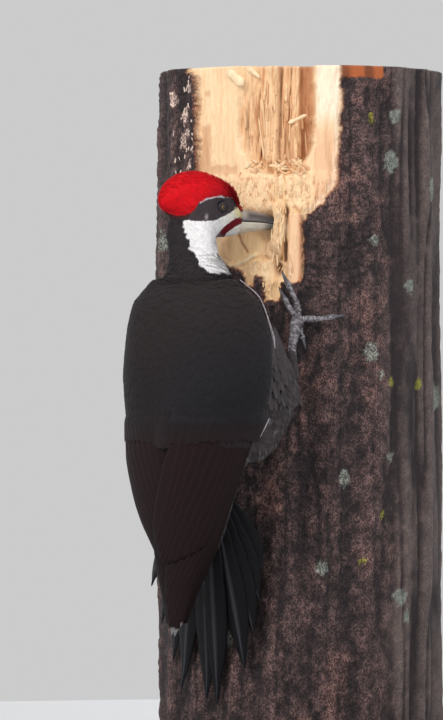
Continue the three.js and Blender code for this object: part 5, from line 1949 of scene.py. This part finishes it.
# Blades of a tuft: sideways place of the root and of the tip, length, half width, and where it is fullest
FINE = [(0.0, 0.0, 1.0, 0.34, 0.35), (-0.35, -0.6, 0.86, 0.3, 0.35), (0.35, 0.6, 0.86, 0.3, 0.35)]
LOOSE = [(0.0, 0.0, 1.0, 0.26, 0.5), (-0.2, -0.36, 0.92, 0.22, 0.5), (0.2, 0.36, 0.92, 0.22, 0.5)]
BROAD = [(0.0, 0.0, 1.0, 0.5, 0.62)]


class WOODPECKER_OT_head_coat(Builder):
    """Grow the feathers of the face and the cap"""

    bl_idname = "woodpecker.head_coat"
    bl_label = "Head feathers"

    def build(self, scene, hues):
        field, spacing = skin_fields(), scene.woodpecker_coat
        ahead, up, red = field["head"][:, 1], field["head"][:, 2], field["red"]
        blade = tuft_template("fine_tuft", FINE, 3)
        clear = field["eye_away"] > 3.2
        near = eased(ahead, -18, 6)
        long = mixed(5.2, 3.0, near) + 5.6 * band(ahead, 20.5, 30, 1) * band(up, -8, 3, 1)
        grown_coat("coat_face", "head_feather", field["is_head"] * (1 - red) * clear * (ahead < 28),
                   (mixed(2.0, 1.5, near), long, 0.35 + 0.35 * eased(-ahead, 0, 20)), blade,
                   feather_finish("Face feathers", barbs=0.1), hues, 11, spacing.face_spacing, tousle=0.1,
                   thickness=0.2, seat=0.1, uneven=0.15, soft=0.8, crisp=0.85)
        rear = eased(-ahead, -4, 34)
        high = mixed(0.6, 1.3, rear) + 2.6 * eased(ahead, 4, 15)
        high += 1.5 * eased(field["normal"][:, 2], 0.2, 0.9)
        grown_coat("coat_cap", "red_feather", np.clip(red, 0, 1) * clear,
                   (mixed(1.7, 2.2, rear), mixed(5.5, 13.0, rear), high), blade,
                   feather_finish("Cap feathers", sheen=0.02, barbs=0.1), hues, 12, spacing.cap_spacing,
                   thickness=0.2, seat=0.2, uneven=0.12, soft=0.85, crisp=0.6)
        dropped(blade)


class WOODPECKER_OT_neck_coat(Builder):
    """Grow the feathers of the neck"""

    bl_idname = "woodpecker.neck_coat"
    bl_label = "Neck feathers"

    def build(self, scene, hues):
        field, spacing = skin_fields(), scene.woodpecker_coat
        blade = tuft_template("neck_tuft", FINE, 3)
        height = field["bird"][:, 2]
        low = eased(height, 425, 393)
        full = 2.4 * eased(field["normal"][:, 0], 0.1, 0.8) * band(height, 396, 424, 8)
        rise = mixed(1.1, 2.0, low) * mixed(0.5, 1.0, eased(height, 386, 398)) + full
        grown_coat("coat_neck", "head_feather", field["is_neck"],
                   (mixed(2.2, 3.2, low), mixed(6.5, 11, low), rise), blade,
                   feather_finish("Neck feathers", barbs=0.15), hues, 13, spacing.neck_spacing, tousle=0.07,
                   seat=0.1, uneven=0.12, soft=0.85, crisp=0.8)
        dropped(blade)


class WOODPECKER_OT_body_coat(Builder):
    """Grow the feathers of the back, the belly and the thighs"""

    bl_idname = "woodpecker.body_coat"
    bl_label = "Body feathers"

    def build(self, scene, hues):
        field, spacing = skin_fields(), scene.woodpecker_coat
        height, back, thigh = field["bird"][:, 2], field["is_back"], field["is_thigh"]
        vane, loose = tuft_template("back_vane", BROAD, 4), tuft_template("loose_tuft", LOOSE, 3)
        low = eased(height, 385, 290)
        grown_coat("coat_back", "black_feather", back,
                   (mixed(5.5, 9.0, low), mixed(12, 22, low), mixed(0.8, 1.2, low)), vane,
                   feather_finish("Back feathers", roughness=0.8, barbs=0.15), hues, 14, spacing.back_spacing,
                   tousle=0.03, thickness=0.14, camber=0.05, seat=0.2, uneven=0.06, soft=0.94,
                   colours=lambda place, shades: mantle_colours(in_bird(place), shades))
        belly = (1 - back) * (1 - thigh) * (height < 386) * ((field["cover"] < 4) | (height > 280))
        finish = feather_finish("Belly feathers", roughness=0.85, barbs=0.2)
        grown_coat("coat_belly", "grey_feather", belly, (6.0, 15.0, 2.4), loose, finish, hues, 15,
                   spacing.under_spacing, tousle=0.16, seat=0.2)
        grown_coat("coat_thighs", "grey_feather", thigh, (4.2, 11.0, 2.2), loose, finish, hues, 16,
                   spacing.thigh_spacing, tousle=0.14, seat=0.2, soft=0.8, crisp=0.7)
        for side, sign in SIDES:
            finished(make_flank(side, sign, hues), "grey_feather")
        dropped(vane)
        dropped(loose)


class WOODPECKER_OT_wings(Builder):
    """Add the folded flight feathers"""

    bl_idname = "woodpecker.wings"
    bl_label = "Wings"

    def build(self, scene, hues):
        for side, sign in SIDES:
            nodes = [f"wing_{side}_{part}" for part in ("secondaries", "primaries")]
            finished(make_wing(side, sign, hues), "brown_feather", *nodes)


class WOODPECKER_OT_tail(Builder):
    """Add the tail that props the bird"""

    bl_idname = "woodpecker.tail"
    bl_label = "Tail"

    def build(self, scene, hues):
        nodes = [f"tail_{side}_{k}" for side in ("right", "left") for k in range(1, 6)]
        finished(make_tail(hues), "blue_black_feather", *nodes)


class WOODPECKER_OT_bill(Builder):
    """Add the bill's two halves"""

    bl_idname = "woodpecker.bill"
    bl_label = "Bill"

    def build(self, scene, hues):
        finished(make_bill(True, hues), "slate_horn", "bill_upper")
        finished(make_bill(False, hues), "pale_horn", "bill_lower")


class WOODPECKER_OT_eyes(Builder):
    """Add the eyes and their lids"""

    bl_idname = "woodpecker.eyes"
    bl_label = "Eyes"

    def build(self, scene, hues):
        for side, sign in SIDES:
            finished(make_eye(side, sign), "eye", f"eye_{side}")
        finished(make_lids(hues), "scaled_skin")


class WOODPECKER_OT_feet(Builder):
    """Add the feet and their claws"""

    bl_idname = "woodpecker.feet"
    bl_label = "Feet"

    def build(self, scene, hues):
        for side, sign in SIDES:
            skin, claws = make_feet(side, sign, hues)
            finished(skin, "scaled_skin", f"leg_{side}_tarsus", *(f"leg_{side}_toe_{toe}" for toe in TOES))
            finished(claws, "claw_horn", *(f"leg_{side}_claw_{toe}" for toe in TOES))


class WOODPECKER_PT_panel(bpy.types.Panel):
    """The pieces, in the order that they are made"""

    bl_idname = "WOODPECKER_PT_panel"
    bl_label = "Woodpecker"
    bl_space_type = "VIEW_3D"
    bl_region_type = "UI"
    bl_category = "Woodpecker"

    def draw(self, context):
        for operator in OPERATORS:
            self.layout.operator(operator.bl_idname)
        for name, group in SETTINGS.items():
            box = self.layout.box()
            for key in group.__annotations__:
                box.prop(getattr(context.scene, name), key)


OPERATORS = (
    WOODPECKER_OT_stage, WOODPECKER_OT_perch, WOODPECKER_OT_stand, WOODPECKER_OT_skin,
    WOODPECKER_OT_head_coat, WOODPECKER_OT_neck_coat, WOODPECKER_OT_body_coat, WOODPECKER_OT_wings,
    WOODPECKER_OT_tail, WOODPECKER_OT_bill, WOODPECKER_OT_eyes, WOODPECKER_OT_feet,
)
SETTINGS = {
    "woodpecker_plumage": WoodpeckerPlumage,
    "woodpecker_coat": WoodpeckerCoat,
    "woodpecker_perch": WoodpeckerPerch,
    "woodpecker_stage": WoodpeckerStage,
}


def register():
    for kind in (*SETTINGS.values(), *OPERATORS, WOODPECKER_PT_panel):
        bpy.utils.register_class(kind)
    for name, group in SETTINGS.items():
        setattr(bpy.types.Scene, name, bpy.props.PointerProperty(type=group))


def unregister():
    for name in SETTINGS:
        delattr(bpy.types.Scene, name)
    for kind in reversed((*SETTINGS.values(), *OPERATORS, WOODPECKER_PT_panel)):
        bpy.utils.unregister_class(kind)


def main():
    register()
    for operator in OPERATORS:
        group, name = operator.bl_idname.split(".")
        if getattr(getattr(bpy.ops, group), name)() != {"FINISHED"}:
            raise RuntimeError(f"{operator.bl_label} didn't finish")


if __name__ == "__main__":
    main()
